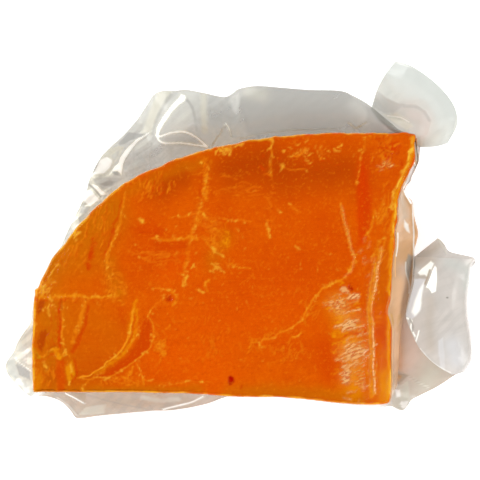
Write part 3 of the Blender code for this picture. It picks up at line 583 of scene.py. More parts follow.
MARGIN_MARKS = (
    Patch("grey strip of the fold", Kind.PEARL, ((155, 96), (159, 99), (151, 116), (146, 130), (132, 131),
        (128, 128), (142, 113)), 1.2, 0.8, 16),
    Patch("cream crest", Kind.CREAM, ((158, 92), (174, 91), (166, 103), (159, 114), (155, 126), (151, 133),
        (141, 132), (146, 120), (152, 106)), 1.6, 0.8, 16),
    Mark("shade of the crest", Kind.SMOKE, ((172, 96), (163, 109), (157, 121), (153, 134)), 1.7, 0.6, 15),
    Patch("dark triangle", Kind.SMOKE, ((128.5, 132.4), (146, 134.4), (142, 137), (130, 141), (124, 144.4),
        (119.5, 145.4), (118.6, 143.4)), 0.7, 0.95, 15),
    Patch("cream panel", Kind.CREAM, ((101, 158), (110, 149), (119, 146), (125, 147), (120, 157),
        (113, 166), (105, 174), (93, 177)), 0.8, 0.9, 14),
    Patch("bright part of the panel", Kind.SNOW, ((100, 160), (107, 156.6), (113.6, 160.4), (111, 167),
        (104, 174), (93, 175)), 0.8, 0.9, 14),
    Patch("facet of the panel", Kind.PEARL, ((112, 156), (120, 150), (119, 157), (114, 162)), 0.8, 0.8, 14),
    Patch("white band of the fold", Kind.WHITE, ((152, 131), (146.4, 136), (138, 141.8), (134, 146.4),
        (130, 152.4), (126, 158.6), (123.4, 164.8), (121.4, 175.6), (118.6, 172), (114.6, 170), (109, 175),
        (114.4, 166.4), (118.4, 163.4), (120, 158), (122.6, 154), (125.6, 150), (130.6, 144), (136, 139.8),
        (146, 133.6)), 0.6, 1, 15),
    Patch("dark facet by the band", Kind.GREY, ((112.6, 171.6), (117.6, 171.4), (119.6, 176), (114, 174.6)),
        0.6, 0.8, 14),
    Mark("loop, upper side", Kind.WHITE, ((157, 135), (160, 137), (165, 136), (172, 133.6), (181, 132.4),
        (187, 133.3), (193, 136), (200.4, 140.6), (207.4, 147)), 1.4, 1, 14),
    Mark("loop, lower side", Kind.WHITE, ((157, 136), (160.4, 141.4), (166.6, 143.8), (182, 143.8),
        (198, 145.4), (206, 147)), 1.3, 1, 13),
    Patch("stem of the loop", Kind.WHITE, ((181, 94.7), (185.5, 96), (187.6, 100.4), (181, 105.4),
        (171.7, 114.6), (164.6, 124.8), (160.5, 132), (158.6, 137), (156.4, 134), (157, 128),
        (162.6, 117.6), (171.7, 106.4), (178.4, 99.3)), 0.6, 1, 16),
    Patch("inside of the loop", Kind.SMOKE, ((166, 139.4), (182, 136.4), (196, 141.4), (180, 141.8)), 1.2,
        0.6, 14),
    Mark("dark side of the cone", Kind.SMOKE, ((187.6, 101), (193.4, 111), (197, 131)), 1.6, 0.9, 15),
    Mark("beige column", Kind.CREAM, ((204, 97), (204, 115), (205, 131)), 3.6, 0.8, 15),
    Mark("line above the rim", Kind.SNOW, ((241, 138), (262, 134), (285, 131), (310, 130), (338, 129)), 0.9,
        0.5, 14),
    Mark("slanting gleam", Kind.SNOW, ((211, 146.6), (216, 140), (221, 133), (224.8, 125.4)), 0.9, 0.8, 14),
    Mark("double glint", Kind.WHITE, ((226, 124), (229.4, 129), (231.4, 136.4)), 1, 0.95, 14),
    Mark("glint near the end", Kind.WHITE, ((348, 123), (353, 127), (356, 128.5), (361, 126), (366, 122.5)),
        1.1, 0.8, 14),
    Patch("dark end of the broad flap", Kind.SMOKE, ((366, 106), (371, 107), (388, 120.5), (402, 131.5),
        (396, 133.5), (372, 133), (366, 122)), 1.6, 0.75, 15),
    Patch("grey facets below the panel", Kind.SMOKE, ((93, 179), (108, 177), (124, 178), (115, 184),
        (104, 190), (97, 186)), 0.9, 0.55, 14),
    Patch("dark streak below the panel", Kind.GREY, ((99, 184.4), (108.6, 180.6), (116.6, 181),
        (111, 185.4), (104, 186.4)), 0.7, 0.8, 14),
    Patch("white wedge", Kind.WHITE, ((92, 184), (98, 186), (107, 195), (103, 196), (95, 189)), 0.6, 0.9,
        13),
    Mark("dark wedge", Kind.GREY, ((88.6, 184), (95, 189.6), (101, 197)), 0.9, 0.85, 13),
    Patch("bright wedge by the rind", Kind.SNOW, ((104, 193), (109.6, 198), (114, 190)), 0.7, 0.8, 13),
    Patch("snow in the lower crumples", Kind.SNOW, ((88, 190), (94, 192), (100, 200), (90, 206), (84, 202)),
        0.8, 0.9, 13),
    Patch("grey crumple", Kind.SMOKE, ((83, 206), (91, 207), (87, 214), (80, 213)), 0.8, 0.7, 13),
    Patch("left side of the left flap", Kind.ICE, ((7, 361), (15, 353), (16.4, 365), (19.6, 375), (15, 379),
        (8, 372)), 0.9, 0.6, 8),
    Patch("facet of the left flap", Kind.SMOKE, ((16.6, 363.8), (21.6, 364.6), (31, 371.3), (31, 379),
        (20, 374.8)), 0.7, 0.95, 8),
    Mark("rim of the left facet", Kind.WHITE, ((15.6, 357), (22, 363.4), (31, 369.6)), 0.9, 0.9, 8),
    Mark("bright line of the lower flap", Kind.WHITE, ((65.6, 392.8), (75, 398), (84, 403.3)), 1, 1, 7),
    Patch("dark triangle of the lower flap", Kind.MUSHROOM, ((71, 392), (86, 393), (85.6, 401.6),
        (78, 398)), 0.8, 0.9, 7),
    Mark("pale hem of the lower flap", Kind.SNOW, ((57, 397), (68, 406), (75.6, 416)), 1.3, 0.6, 7),
    Patch("pale facet at the lower flap's corner", Kind.CREAM, ((77, 416), (85, 407.5), (106, 404),
        (104, 414)), 0.8, 0.7, 7),
    Mark("shade across the lower flap", Kind.GREY, ((88, 395), (115, 402.5), (145, 409)), 1, 0.3, 7),
    Mark("pale field of the lower flap", Kind.CREAM, ((142, 397), (160, 400), (178, 399)), 2.6, 0.7, 7),
    Mark("bright arc of the lower flap", Kind.WHITE, ((163, 409.4), (178, 405.4), (191, 402),
        (203.6, 395.7)), 1.3, 0.95, 7),
    Mark("fold line by the axis corner", Kind.WHITE, ((396, 371), (405, 374), (418, 382), (428, 387)), 0.7,
        0.6, 10),
    Patch("amber gleam by the wall", Kind.MUSHROOM, ((392.5, 372), (398, 372), (408, 374.6), (403, 381),
        (399, 385)), 0.8, 1, 10),
    Patch("heart of that gleam", Kind.GOLD, ((395, 373), (402, 376), (399, 381)), 1.2, 0.9, 10),
    Patch("cream crumple of the corner", Kind.CREAM, ((392, 382), (400, 385), (408, 380), (409, 403),
        (402, 410), (392, 405)), 0.8, 0.95, 9),
    Patch("white crumple of the corner", Kind.SNOW, ((394, 389), (400, 389), (401, 397), (396, 397)), 0.8,
        0.9, 9),
    Patch("white tip of the corner", Kind.SNOW, ((401, 400), (409, 401), (406, 407.6), (402, 409),
        (399, 404)), 0.8, 0.9, 9),
)

# The rolled corner: its whites are painted highlights, its grey crumple painted shade, and its speck a dark
# speck
ROLL_MARKS = (
    Mark("upper field", Kind.MUSHROOM, ((418, 262), (430, 258), (424, 276)), 8, 0.45, 18),
    Mark("cool corner", Kind.ICE, ((448, 262), (468, 272), (466, 286)), 7, 0.6, 18),
    Mark("beige field", Kind.MUSHROOM, ((430, 300), (429, 325), (431, 348)), 6, 0.3, 18),
    Mark("lilac foot", Kind.LILAC, ((452, 345), (456, 360)), 11, 0.9, 17),
    Patch("lilac foot's left side", Kind.LILAC, ((437.8, 340), (442, 337), (446, 371), (441, 368),
        (438, 352)), 0.9, 0.75, 17),
    Patch("long lilac panel", Kind.LILAC, ((414.5, 279), (420, 278.4), (426, 279), (423.4, 289),
        (420.4, 300), (421, 309), (416.4, 316), (411, 320), (406, 316), (409, 303)), 0.8, 1, 18),
    Patch("white part of the panel", Kind.WHITE, ((424, 282), (421.6, 293), (421.4, 303), (419, 311),
        (414.6, 316), (411.6, 312), (414.6, 301), (419, 290)), 1.3, 0.75, 18),
    Patch("white facet", Kind.WHITE, ((431.4, 260.5), (434.3, 263.3), (431.4, 270), (427, 277.4),
        (424.6, 275), (420, 275.4), (417.6, 273), (422, 268), (425.7, 265.3)), 0.7, 0.85, 18),
    Patch("white triangle", Kind.WHITE, ((434.8, 265.3), (436.3, 267.4), (436.4, 280), (435.6, 291.4),
        (431.4, 293), (428.6, 288.4), (425.6, 287.4), (428.6, 279.6), (432.4, 270)), 0.6, 1, 18),
    Mark("shade between the whites", Kind.MUSHROOM, ((430, 270), (427, 277.6), (424.6, 284)), 0.9, 0.8, 18),
    Mark("white foot of the panel", Kind.WHITE, ((407, 318), (412, 321), (411, 328), (415, 336)), 1, 0.9,
        18),
    Mark("crumple at the foot", Kind.GREY, ((410, 319), (413, 325), (412.5, 331)), 0.6, 0.5, 18),
    Mark("white wrinkle", Kind.WHITE, ((419, 330.5), (417, 338), (415.6, 342)), 0.8, 0.9, 18),
    Mark("speck", Kind.GREY, ((446.5, 297.5), (447.5, 297.7)), 0.8, 0.8, 18),
    Mark("line along the free edge", Kind.SNOW, ((420, 348.5), (429, 358.5), (439, 366.5), (452, 373)), 0.6,
        0.5, 17),
)

# The bridging film: its white beads and gleams are painted highlights, its snow lines partly so, and its dark
# line and grey lens painted shade
BRIDGE_MARKS = (
    Mark("beige top", Kind.MUSHROOM, ((400, 196), (404, 216)), 6, 0.65, 17),
    Mark("pink field", Kind.ROSE, ((403, 268), (404, 290), (405, 325)), 7, 0.6, 17),
    Mark("apricot low in the web", Kind.APRICOT, ((399, 284), (397, 320), (396, 352)), 8, 0.9, 16),
    Mark("golden strip", Kind.GOLD, ((399, 316), (397, 330)), 2.4, 0.5, 16),
    Patch("amber facet of the notch", Kind.GOLD, ((388.5, 313), (391, 313.6), (393, 322), (391.6, 326)),
        0.8, 0.9, 18),
    Patch("brown of the notch", Kind.MUSHROOM, ((413, 144), (417, 150), (418, 162), (414, 160),
        (412.5, 152)), 0.7, 0.9, 19),
    Patch("grey of the notch", Kind.LILAC, ((410, 167), (416, 166), (411.5, 177), (410, 183), (403, 186),
        (407, 176)), 0.7, 0.8, 18),
    Mark("dark line of the notch", Kind.GREY, ((413.4, 141), (415, 147), (416.6, 154), (418, 161),
        (415, 167)), 0.6, 0.8, 19),
    Mark("gleam by the edge", Kind.GLEAM, ((394.8, 254), (394.2, 265), (394.6, 276)), 0.8, 0.7, 20),
    Mark("white bead of the notch", Kind.WHITE, ((412.5, 162.5), (415, 165.3)), 0.8, 0.9, 19),
    Mark("white gleam, top", Kind.WHITE, ((403, 187.5), (406, 194), (411.5, 203)), 1.2, 1, 18),
    Patch("cream blotch", Kind.SNOW, ((403.6, 220), (408, 224), (410, 233), (406, 231), (403.2, 226.6)), 1,
        0.8, 17),
    Patch("grey lens", Kind.SMOKE, ((407.6, 254), (405, 262), (405, 271), (408.4, 280), (411, 271),
        (413, 256)), 1.3, 0.75, 15),
    Mark("side of the lens", Kind.SNOW, ((404.8, 262), (405.4, 273), (409, 284), (408.6, 293)), 0.6, 0.6,
        15),
    Mark("ridge of the seam", Kind.SNOW, ((412, 203), (413, 228), (413.4, 250), (412.8, 276), (410.8, 290),
        (406.8, 310)), 0.9, 0.85, 14),
    Mark("pale line by the edge", Kind.SNOW, ((397, 233), (396.6, 246), (395.4, 256)), 0.8, 0.9, 20),
)

# The curled corner: the rim's white line is a painted highlight, its snow lines partly so, and the cone's
# deep end and the shade under the lip painted shade
CURL_MARKS = (
    Mark("cold light on the lip", Kind.ICE, ((400, 70), (430, 92), (450, 112)), 16, 0.9, 21),
    Mark("lip's far end", Kind.SNOW, ((446, 128), (436, 140)), 7, 0.35, 18),
    Patch("inside of the cone", Kind.PEARL, ((378, 89), (388, 98), (399, 103.4), (415, 104.6), (425, 111.5),
        (431, 121), (428, 134), (416, 140), (398, 134), (374, 108)), 0.5, 0.85, 17),
    Patch("deep end of the cone", Kind.SMOKE, ((378.6, 90), (386, 97), (396, 103), (404, 105), (396, 111),
        (386, 112), (375, 106)), 1.2, 0.6, 16),
    Mark("right side of the cone", Kind.SILK, ((412, 112), (424, 120), (424, 134)), 6, 0.7, 16),
    Mark("shade under the lip", Kind.SMOKE, ((404, 106), (415, 107), (424, 113), (429, 121)), 1.3, 0.5, 17),
    Patch("beige crests", Kind.CREAM, ((384, 114), (398, 113), (408, 119), (413, 126), (407, 130),
        (396, 123)), 1.4, 0.9, 13),
    Mark("crest line", Kind.SNOW, ((388, 115), (400, 117), (409, 122)), 0.8, 0.8, 12),
    Mark("rim's line", Kind.WHITE, ((396, 62), (424, 74), (446, 94), (456, 112), (455, 130)), 0.7, 0.4, 20),
)


def value_noise(x: np.ndarray, y: np.ndarray, size: float, seed: int) -> np.ndarray:
    """Smooth noise from -1 to 1 whose lumps are about one size.

    Args:
        x: Places along one way, in metres.
        y: Places along the other way.
        size: Size of a lump, in metres.
        seed: Which noise it is.

    Returns:
        One value for each place.
    """
    cells = 64
    lattice = np.random.default_rng(seed).uniform(-1, 1, (cells, cells))
    across, up = x / size, y / size
    column, row = np.floor(across).astype(int), np.floor(up).astype(int)
    u, v = across - column, up - row
    u, v = u * u * (3 - 2 * u), v * v * (3 - 2 * v)
    left, right = column % cells, (column + 1) % cells
    low, high = row % cells, (row + 1) % cells
    below = lattice[left, low] * (1 - u) + lattice[right, low] * u
    above = lattice[left, high] * (1 - u) + lattice[right, high] * u
    return below * (1 - v) + above * v


def smooth_path(points: np.ndarray, count: int, closed: bool = False) -> np.ndarray:
    """Points evenly spaced on a smooth curve through the points given.

    Args:
        points: The points to pass through, with any more columns to carry along.
        count: How many points come back.
        closed: Whether the curve runs on from its last point to its first.

    Returns:
        The new points, with the same columns.
    """
    knots = np.asarray(points, float)
    if closed:
        knots = np.vstack([knots[-1], knots, knots[:2]])
    else:
        knots = np.vstack([2 * knots[0] - knots[1], knots, 2 * knots[-1] - knots[-2]])
    steps = np.linspace(0, 1, SPAN_STEPS, endpoint=False)[:, None]
    pieces = []
    for before, start, end, after in zip(knots, knots[1:], knots[2:], knots[3:]):
        bend = 2 * before - 5 * start + 4 * end - after
        twist = 3 * start - before - 3 * end + after
        pieces.append(start + 0.5 * steps * (end - before + steps * (bend + steps * twist)))
    return evenly(np.vstack([*pieces, knots[-2][None]]), count, closed)


def lengths(line: np.ndarray) -> np.ndarray:
    """How far along a line of points each of them lies."""
    return np.r_[0, np.cumsum(np.linalg.norm(np.diff(line, axis=0), axis=1))]


def evenly(line: np.ndarray, count: int, closed: bool = False, in_space: bool = False) -> np.ndarray:
    """Points evenly spaced along a line of many points.

    Args:
        line: The line's points, with any more columns to carry along.
        count: How many points come back.
        closed: Whether the line's last point is its first again, which then comes back once.
        in_space: Whether all columns count for the spacing, and not only the first two.

    Returns:
        The new points, with the same columns.
    """
    run = lengths(line if in_space else line[:, :2])
    stops = np.linspace(0, run[-1], count, endpoint=not closed)
    return np.column_stack([np.interp(stops, run, column) for column in line.T])


def outward(loop: np.ndarray) -> np.ndarray:
    """Unit normals of an anticlockwise loop in plan."""
    run = np.roll(loop, -1, axis=0) - np.roll(loop, 1, axis=0)
    normals = np.column_stack([run[:, 1], -run[:, 0]])
    return normals / np.linalg.norm(normals, axis=1)[:, None]


class Canvas:
    """A surface to paint, corner by corner: its places in plan, its rise, its colour and its milkiness."""

    def __init__(
        self, plan: np.ndarray, tint: Colour, milk: float = 0.0, is_film: bool = False, stray: float = 1.0,
        ground: Callable | None = None,
    ) -> None:
        """Starts a plain canvas.

        Args:
            plan: Place of each corner in plan, in metres.
            tint: The colour to start from.
            milk: How milky it starts, from 0 to 1.
            is_film: Whether it is film, which takes the milky kinds of mark, or cheese, which takes the rest.
            stray: How far the strokes stray from their routes.
            ground: Gives the cheese's height at places in plan, for a canvas that lies on its cut face.
        """
        x, y = plan[:, 0], plan[:, 1]
        stray *= MM
        fray = 0.4 * value_noise(x, y, 0.8 * MM, 13) + 0.3 * value_noise(x, y, 0.45 * MM, 14)
        self.fray = np.clip(1 + (0.25 if is_film else 1.0) * fray, 0.4, 1.7)
        self.ground = ground
        self.rng = np.random.default_rng(15)
        self.x = x + stray * (0.4 * value_noise(x, y, 3.1 * MM, 5) + 0.16 * value_noise(x, y, 0.9 * MM, 7))
        self.y = y + stray * (0.4 * value_noise(x, y, 2.7 * MM, 6) + 0.16 * value_noise(x, y, 0.8 * MM, 8))
        crumbs = 0.5 * value_noise(x, y, 1.1 * MM, 9) + 0.4 * value_noise(x, y, 0.6 * MM, 10)
        self.breaks = np.clip(0.85 + crumbs, 0.2, 1.15)
        self.tint = np.tile(np.array(tint, float), (len(x), 1))
        self.milk = np.full(len(x), milk)
        self.rise = np.zeros(len(x))
        self.is_film = is_film

    def locate(self, route: Sequence, height: float) -> np.ndarray:
        """Where some photo pixels lie in plan: on the cut face, or at a height in metres off it."""
        plan = PHOTO.plan(route, height)
        if self.ground:
            plan = PHOTO.plan(route, self.ground(plan[:, 0], plan[:, 1]))
        return plan

    def near(self, route: np.ndarray, reach: float) -> tuple[np.ndarray, np.ndarray]:
        """Finds the corners that lie near a route.

        Args:
            route: The route in plan, in metres.
            reach: How far from it still counts.

        Returns:
            The corners' numbers, and how far each lies from the route.
        """
        low, high = route.min(axis=0) - reach, route.max(axis=0) + reach
        inside = (self.x > low[0]) & (self.x < high[0]) & (self.y > low[1]) & (self.y < high[1])
        numbers = np.flatnonzero(inside)
        x, y = self.x[numbers], self.y[numbers]
        away = np.full(len(numbers), np.inf)
        for start, end in zip(route, route[1:]):
            way = end - start
            share = np.clip(((x - start[0]) * way[0] + (y - start[1]) * way[1]) / (way @ way), 0, 1)
            away = np.minimum(away, np.hypot(x - start[0] - share * way[0], y - start[1] - share * way[1]))
        return numbers, away

    def paint(
        self,
        brush: Brush,
        route: np.ndarray,
        half_width: float,
        strength: float,
        rise: float,
        broad: bool = False,
    ) -> None:
        """Lays one stroke.

        Args:
            brush: What the stroke leaves.
            route: Its route in plan, in metres.
            half_width: Its half width, in metres.
            strength: How much of its colour it leaves, from 0 to 1.
            rise: How far it lifts the surface, in mm.
            broad: Whether it is a broad patch with soft sides, and not a line.
        """
        if broad:
            numbers, away = self.near(route, 2.4 * half_width)
            cover = strength * np.exp(-((away / half_width) ** 2))
        else:
            half_width = max(half_width, FINEST)
            numbers, away = self.near(route, 1.8 * half_width)
            fray = 1 if brush.smooth else self.fray[numbers]
            cover = strength * np.exp(-((away / (half_width * fray)) ** 3))
            if not (self.is_film or brush.smooth):
                cover = np.minimum(cover * self.breaks[numbers], 1)
        self.lay(brush, numbers, cover, rise)

    def tinge(self, cover: np.ndarray, tint: Colour | np.ndarray) -> None:
        """Mixes a colour into all corners, each by its share of cover."""
        self.tint += cover[:, None] * (np.asarray(tint) - self.tint)

    def lay(self, brush: Brush, numbers: np.ndarray, cover: np.ndarray, rise: float) -> None:
        """Mixes a brush's colour, milkiness and rise (mm) into some corners, each by its share of cover."""
        if brush.milk == 0 or self.is_film:
            self.rise[numbers] += cover * rise * MM
        if (brush.milk > 0) == self.is_film:
            self.tint[numbers] += cover[:, None] * (np.array(brush.tint) - self.tint[numbers])
            self.milk[numbers] += cover * (brush.milk - self.milk[numbers])

    def fill(self, brush: Brush, route: np.ndarray, soft: float, strength: float, rise: float) -> None:
        """Fills a closed outline.

        Args:
            brush: What the patch leaves.
            route: Its outline in plan, in metres.
            soft: Half the width over which its side fades, in metres.
            strength: How much of its colour it leaves, from 0 to 1.
            rise: How far it lifts the surface, in mm.
        """
        ring = np.vstack([route, route[:1]])
        numbers, away = self.near(ring, soft)
        x, y = self.x[numbers], self.y[numbers]
        inside = np.zeros(len(numbers), bool)
        for start, end in zip(ring, ring[1:]):
            level = (start[1] > y) != (end[1] > y)
            slope = (end[0] - start[0]) / (end[1] - start[1] + 1e-12)
            inside ^= level & (x < start[0] + (y - start[1]) * slope)
        depth = np.where(inside, away, -away)
        self.lay(brush, numbers, strength * np.clip(0.5 + 0.5 * depth / soft, 0, 1), rise)

    def stroke(self, mark: Mark, broad: bool = False) -> None:
        """Lays a mark along a smooth line through its pixels, or fills its outline where it is a patch."""
        route = self.locate(mark.route, mark.height * MM)
        rise = mark.kind.value.rise if mark.rise is None else mark.rise
        half_width = mark.half_width * PHOTO.pixel
        if isinstance(mark, Patch):
            self.fill(mark.kind.value, route, half_width, mark.strength, rise)
            return
        if len(route) > 2:
            route = smooth_path(route, 6 * len(route))
        self.paint(mark.kind.value, route, half_width, mark.strength, rise, broad)
        if not self.is_film and rise > 0 and not broad:
            self.crumble(route, half_width)

    def crumble(self, route: np.ndarray, half_width: float) -> None:
        """Strews small crumbs beside a lip."""
        length = np.linalg.norm(np.diff(route, axis=0), axis=1).sum()
        for _ in range(int(length / CRUMB_SPACING)):
            place = route[self.rng.integers(len(route))]
            spot = place + (half_width + CRUMB_STRAY) * self.rng.normal(0, 1, 2)
            crumb = np.array([spot, spot + self.rng.normal(0, CRUMB_LENGTH, 2)])
            self.paint(Kind.CRUMB.value, crumb, 0.8 * FINEST, self.rng.uniform(0.1, 0.7), 0.08)

    def scatter(self, patch: Field, seed: int) -> None:
        """Lays a patch of short bowed strokes, no two alike.

        Args:
            patch: The patch of strokes.
            seed: Which random draw it uses.
        """
        rng = np.random.default_rng(seed)
        for _ in range(patch.count):
            middle = np.array(patch.centre) + np.array(patch.spread) * rng.normal(0, 0.55, 2)
            if patch.pitch:
                middle = patch.align(middle)
            turn = math.radians(patch.angle + patch.jitter * rng.normal())
            half = 0.5 * patch.length * rng.uniform(0.45, 1.35)
            way = half * np.array([math.cos(turn), -math.sin(turn)])
            bow = rng.normal(0, 0.25) * np.array([-way[1], way[0]])
            route = self.locate([middle - way, middle + bow, middle + way], PHOTO.face_height)
            half_width = patch.half_width * rng.uniform(0.75, 1.25) * PHOTO.pixel
            strength = min(patch.strength * rng.uniform(0.45, 1.1), 1.0)
            brush = patch.kind.value
            # Painted shadow: a dark copy of each raised stroke, shifted to the lower right
            if brush.rise > 0:
                shadow = route + half_width * np.array(SHADE_SHIFT)
                self.paint(Kind.GROOVE.value, shadow, half_width, 0.6 * strength, 0)
            self.paint(brush, route, half_width, strength, brush.rise)


@dataclass(frozen=True)
class SliceForm:
    """The slice's own form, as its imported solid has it: its outline, its wall and its face's slow shape."""

    ball_radius: float = 102 * MM
    ball_half_height: float = 74.3 * MM
    ball_squareness: float = 2.6
    ball_middle: tuple[float, float] = (46 * MM, -36 * MM)
    thickness_at_rind: float = 30 * MM
    thickness_at_axis: float = 25.5 * MM
    rind_end: float = -53.6 * MM
    axis_end: float = 53.7 * MM
    edge_round: float = 0.8 * MM
    rind_corner_x: float = -52.2 * MM
    # Where the ball's skin is flatter than its curve: the middle, the depth and the half width in mm
    flats: Route = ((-43.5, 1.6, 4.6), (-35.5, 0.8, 4.5))
    equator_cut: Route = (
        (-53.4, -34.6), (-35, -34.5), (-10, -35.0), (0, -35.7), (9, -36.1), (17, -36.3), (23, -36.9),
        (38, -38.4), (44, -38.6), (46.8, -38.2),
    )
    trimmed_rind: Route = ((-53.4, -34.6), (-53.7, -24), (-53.5, -15), (-53.2, -9), (-52.8, -5.8))
    axis_break: Route = (
        (390, 403.6), (391, 385), (391, 345), (391.2, 326), (387, 311), (390, 299), (391.4, 282),
        (392.4, 266), (394, 254), (395, 240), (397, 222), (397.8, 204), (400, 190), (405, 181), (409, 172),
        (412.4, 165), (415.4, 158), (414.4, 150), (414, 142), (416.4, 134),
    )
    axis_break_height: float = 22.6 * MM
    skin_from_y: float = -8 * MM
    skin_to_x: float = 47 * MM
    trimmed_to_x: float = -50 * MM
    broken_from_x: float = 44 * MM
    cut_wall_lean: float = 0.15
    swell: float = 0.18 * MM
    long_wave: tuple[float, float] = (17 * MM, 13 * MM)
    short_wave: tuple[float, float] = (7 * MM, 9 * MM)
    # Facets that fall away: a place on the line they start from (mm), the way down, and the fall for each mm
    facets: tuple[tuple[tuple[float, float], tuple[float, float], float], ...] = (
        ((39, 0), (1.0, 0.0), 0.16),
        ((30, -13), (0.75, -0.66), 0.055),
        ((-43, -20), (-1.0, 0.0), 0.13),
        ((-35, 12), (-0.82, 0.57), 0.07),
    )

    def sides(self, columns: int, rows: int) -> tuple[np.ndarray, ...]:
        """The four sides in plan, corner to corner: equator cut, axis break, ball's outline, trimmed rind."""
        equator = smooth_path(np.array(self.equator_cut) * MM, columns + 1)
        axis = smooth_path(PHOTO.plan(self.axis_break, self.axis_break_height), rows + 1)
        rind = smooth_path(np.array(self.trimmed_rind) * MM, rows + 1)
        x = np.linspace(self.rind_corner_x, self.axis_end, 4000)
        across = np.abs((x - self.ball_middle[0]) / self.ball_radius) ** self.ball_squareness
        y = self.ball_middle[1] + self.ball_half_height * (1 - across) ** (1 / self.ball_squareness)
        for middle, depth, half_width in self.flats:
            y = y - depth * MM * np.exp(-(((x / MM - middle) / half_width) ** 2))
        ball = evenly(np.column_stack([x, y]), columns + 1)
        equator[-1] = axis[0]
        ball[0], ball[-1] = rind[-1], axis[-1]
        return equator, axis, ball, rind

    def outline(self, columns: int, rows: int) -> np.ndarray:
        """The outline as one closed loop, anticlockwise from the lower rind corner, a little ragged."""
        equator, axis, ball, rind = self.sides(columns, rows)
        loop = np.vstack([equator[:-1], axis[:-1], ball[:0:-1], rind[:0:-1]])
        for _ in range(columns // 70):
            loop = (np.roll(loop, 1, axis=0) + 2 * loop + np.roll(loop, -1, axis=0)) / 4
        x, y = loop.T
        rough = np.where(y > self.skin_from_y, 1.0, 0.4)
        ragged = 0.25 * value_noise(x, y, 3.6 * MM, 11) + 0.13 * value_noise(x, y, 1.2 * MM, 12)
        return loop + (ragged * rough * MM)[:, None] * outward(loop)

    def stretch(self, first: float, last: float, count: int) -> tuple[np.ndarray, np.ndarray]:
        """Part of the outline with its normals, from one share of its four sides to another."""
        loop = self.outline(FACE_COLUMNS, FACE_ROWS)
        both = np.column_stack([loop, outward(loop)])
        picks = side_ends(FACE_COLUMNS, FACE_ROWS)
        start, end = np.interp([first, last], range(len(picks)), picks)
        places = np.linspace(start, end, count)
        near = np.column_stack([np.interp(places, np.arange(len(both)), column) for column in both.T])
        return near[:, :2], near[:, 2:]

    def face_height(self, x: np.ndarray, y: np.ndarray) -> np.ndarray:
        """Height of the upper cut face without its marks: its taper, its facets and its slow swell."""
        share = (x - self.rind_end) / (self.axis_end - self.rind_end)
        height = self.thickness_at_rind + share * (self.thickness_at_axis - self.thickness_at_rind)
        for through, way_down, fall in self.facets:
            past = (x - through[0] * MM) * way_down[0] + (y - through[1] * MM) * way_down[1]
            height = height - fall * np.maximum(past, 0)
        swell = np.sin(x / self.long_wave[0]) * np.cos(y / self.long_wave[1])
        ripple = np.sin(x / self.short_wave[0] - y / self.short_wave[1])
        return height + self.swell * (swell + 0.6 * ripple)

    def on_ball(self, loop: np.ndarray) -> np.ndarray:
        """How far each place of the outline is the ball's own skin, from 0 to 1, with soft ends."""
        share = ((loop[:, 1] > self.skin_from_y) & (loop[:, 0] < self.skin_to_x)).astype(float)
        for _ in range(len(loop) // 30):
            share = (np.roll(share, 1) + share + np.roll(share, -1)) / 3
        return share

    def lean(self, loop: np.ndarray, depth: np.ndarray) -> np.ndarray:
        """How far the wall draws in at a depth: the ball curves under, the cuts hardly."""
        share = self.cut_wall_lean + (1 - self.cut_wall_lean) * self.on_ball(loop)
        return share * (self.ball_radius - np.sqrt(self.ball_radius**2 - depth**2))

    def wall(self, height: float, clearance: float, columns: int, rows: int) -> np.ndarray:
        """The wall's outline at a height, some way clear of the cheese."""
        loop = self.outline(columns, rows)
        depth = self.face_height(loop[:, 0], loop[:, 1]) - height
        return loop + (clearance - self.lean(loop, depth))[:, None] * outward(loop)


def side_ends(columns: int, rows: int) -> np.ndarray:
    """Where an outline's four sides start along it, and where the last one ends, counted in points."""
    return np.cumsum([0, columns, rows, columns, rows])


def patch_between(lower: np.ndarray, right: np.ndarray, upper: np.ndarray, left: np.ndarray) -> np.ndarray:
    """A grid of plan points between four sides.

    Args:
        lower: The lower side, from left to right.
        right: The right side, from bottom to top.
        upper: The upper side, from left to right.
        left: The left side, from bottom to top.

    Returns:
        The points, as rows from the lower side to the upper.
    """
    v, u = np.meshgrid(np.linspace(0, 1, len(right)), np.linspace(0, 1, len(lower)), indexing="ij")
    u, v = u[..., None], v[..., None]
    between_rows = (1 - v) * lower[None] + v * upper[None]
    between_columns = (1 - u) * left[:, None] + u * right[:, None]
    lower_corners = (1 - v) * ((1 - u) * lower[0] + u * lower[-1])
    upper_corners = v * ((1 - u) * upper[0] + u * upper[-1])
    return between_rows + between_columns - lower_corners - upper_corners


def add_grid(name: str, columns: int, rows: int) -> tuple[bpy.types.Object, np.ndarray, np.ndarray]:
    """Adds a flat grid of faces to be shaped.

    Args:
        name: The new piece's name.
        columns: Faces along X.
        rows: Faces along Y.

    Returns:
        The piece, and each corner's column and row.
    """
    bpy.ops.object.select_all(action="DESELECT")
    bpy.ops.mesh.primitive_grid_add(x_subdivisions=columns, y_subdivisions=rows, size=1, location=(0, 0, 0))
    piece = bpy.context.object
    piece.name = piece.data.name = name
    corners = read_corners(piece)
    column = np.rint((corners[:, 0] + 0.5) * columns).astype(int)
    row = np.rint((corners[:, 1] + 0.5) * rows).astype(int)
    return piece, column, row


def read_corners(piece: bpy.types.Object) -> np.ndarray:
    """The piece's corners as an array of (x, y, z)."""
    corners = np.empty(3 * len(piece.data.vertices), np.float32)
    piece.data.vertices.foreach_get("co", corners)
    return corners.reshape(-1, 3).astype(float)


def write_corners(piece: bpy.types.Object, corners: np.ndarray) -> None:
    """Moves the piece's corners."""
    piece.data.vertices.foreach_set("co", corners.astype(np.float32).ravel())
    piece.data.update()


def read_tag(piece: bpy.types.Object, name: str) -> np.ndarray:
    """A whole number that each corner carries."""
    values = np.empty(len(piece.data.vertices), np.int32)
    piece.data.attributes[name].data.foreach_get("value", values)
    return values


def write_tag(piece: bpy.types.Object, name: str, values: np.ndarray) -> None:
    """Gives each corner a whole number."""
    attribute = piece.data.attributes.get(name) or piece.data.attributes.new(name, "INT", "POINT")
    attribute.data.foreach_set("value", values.astype(np.int32))


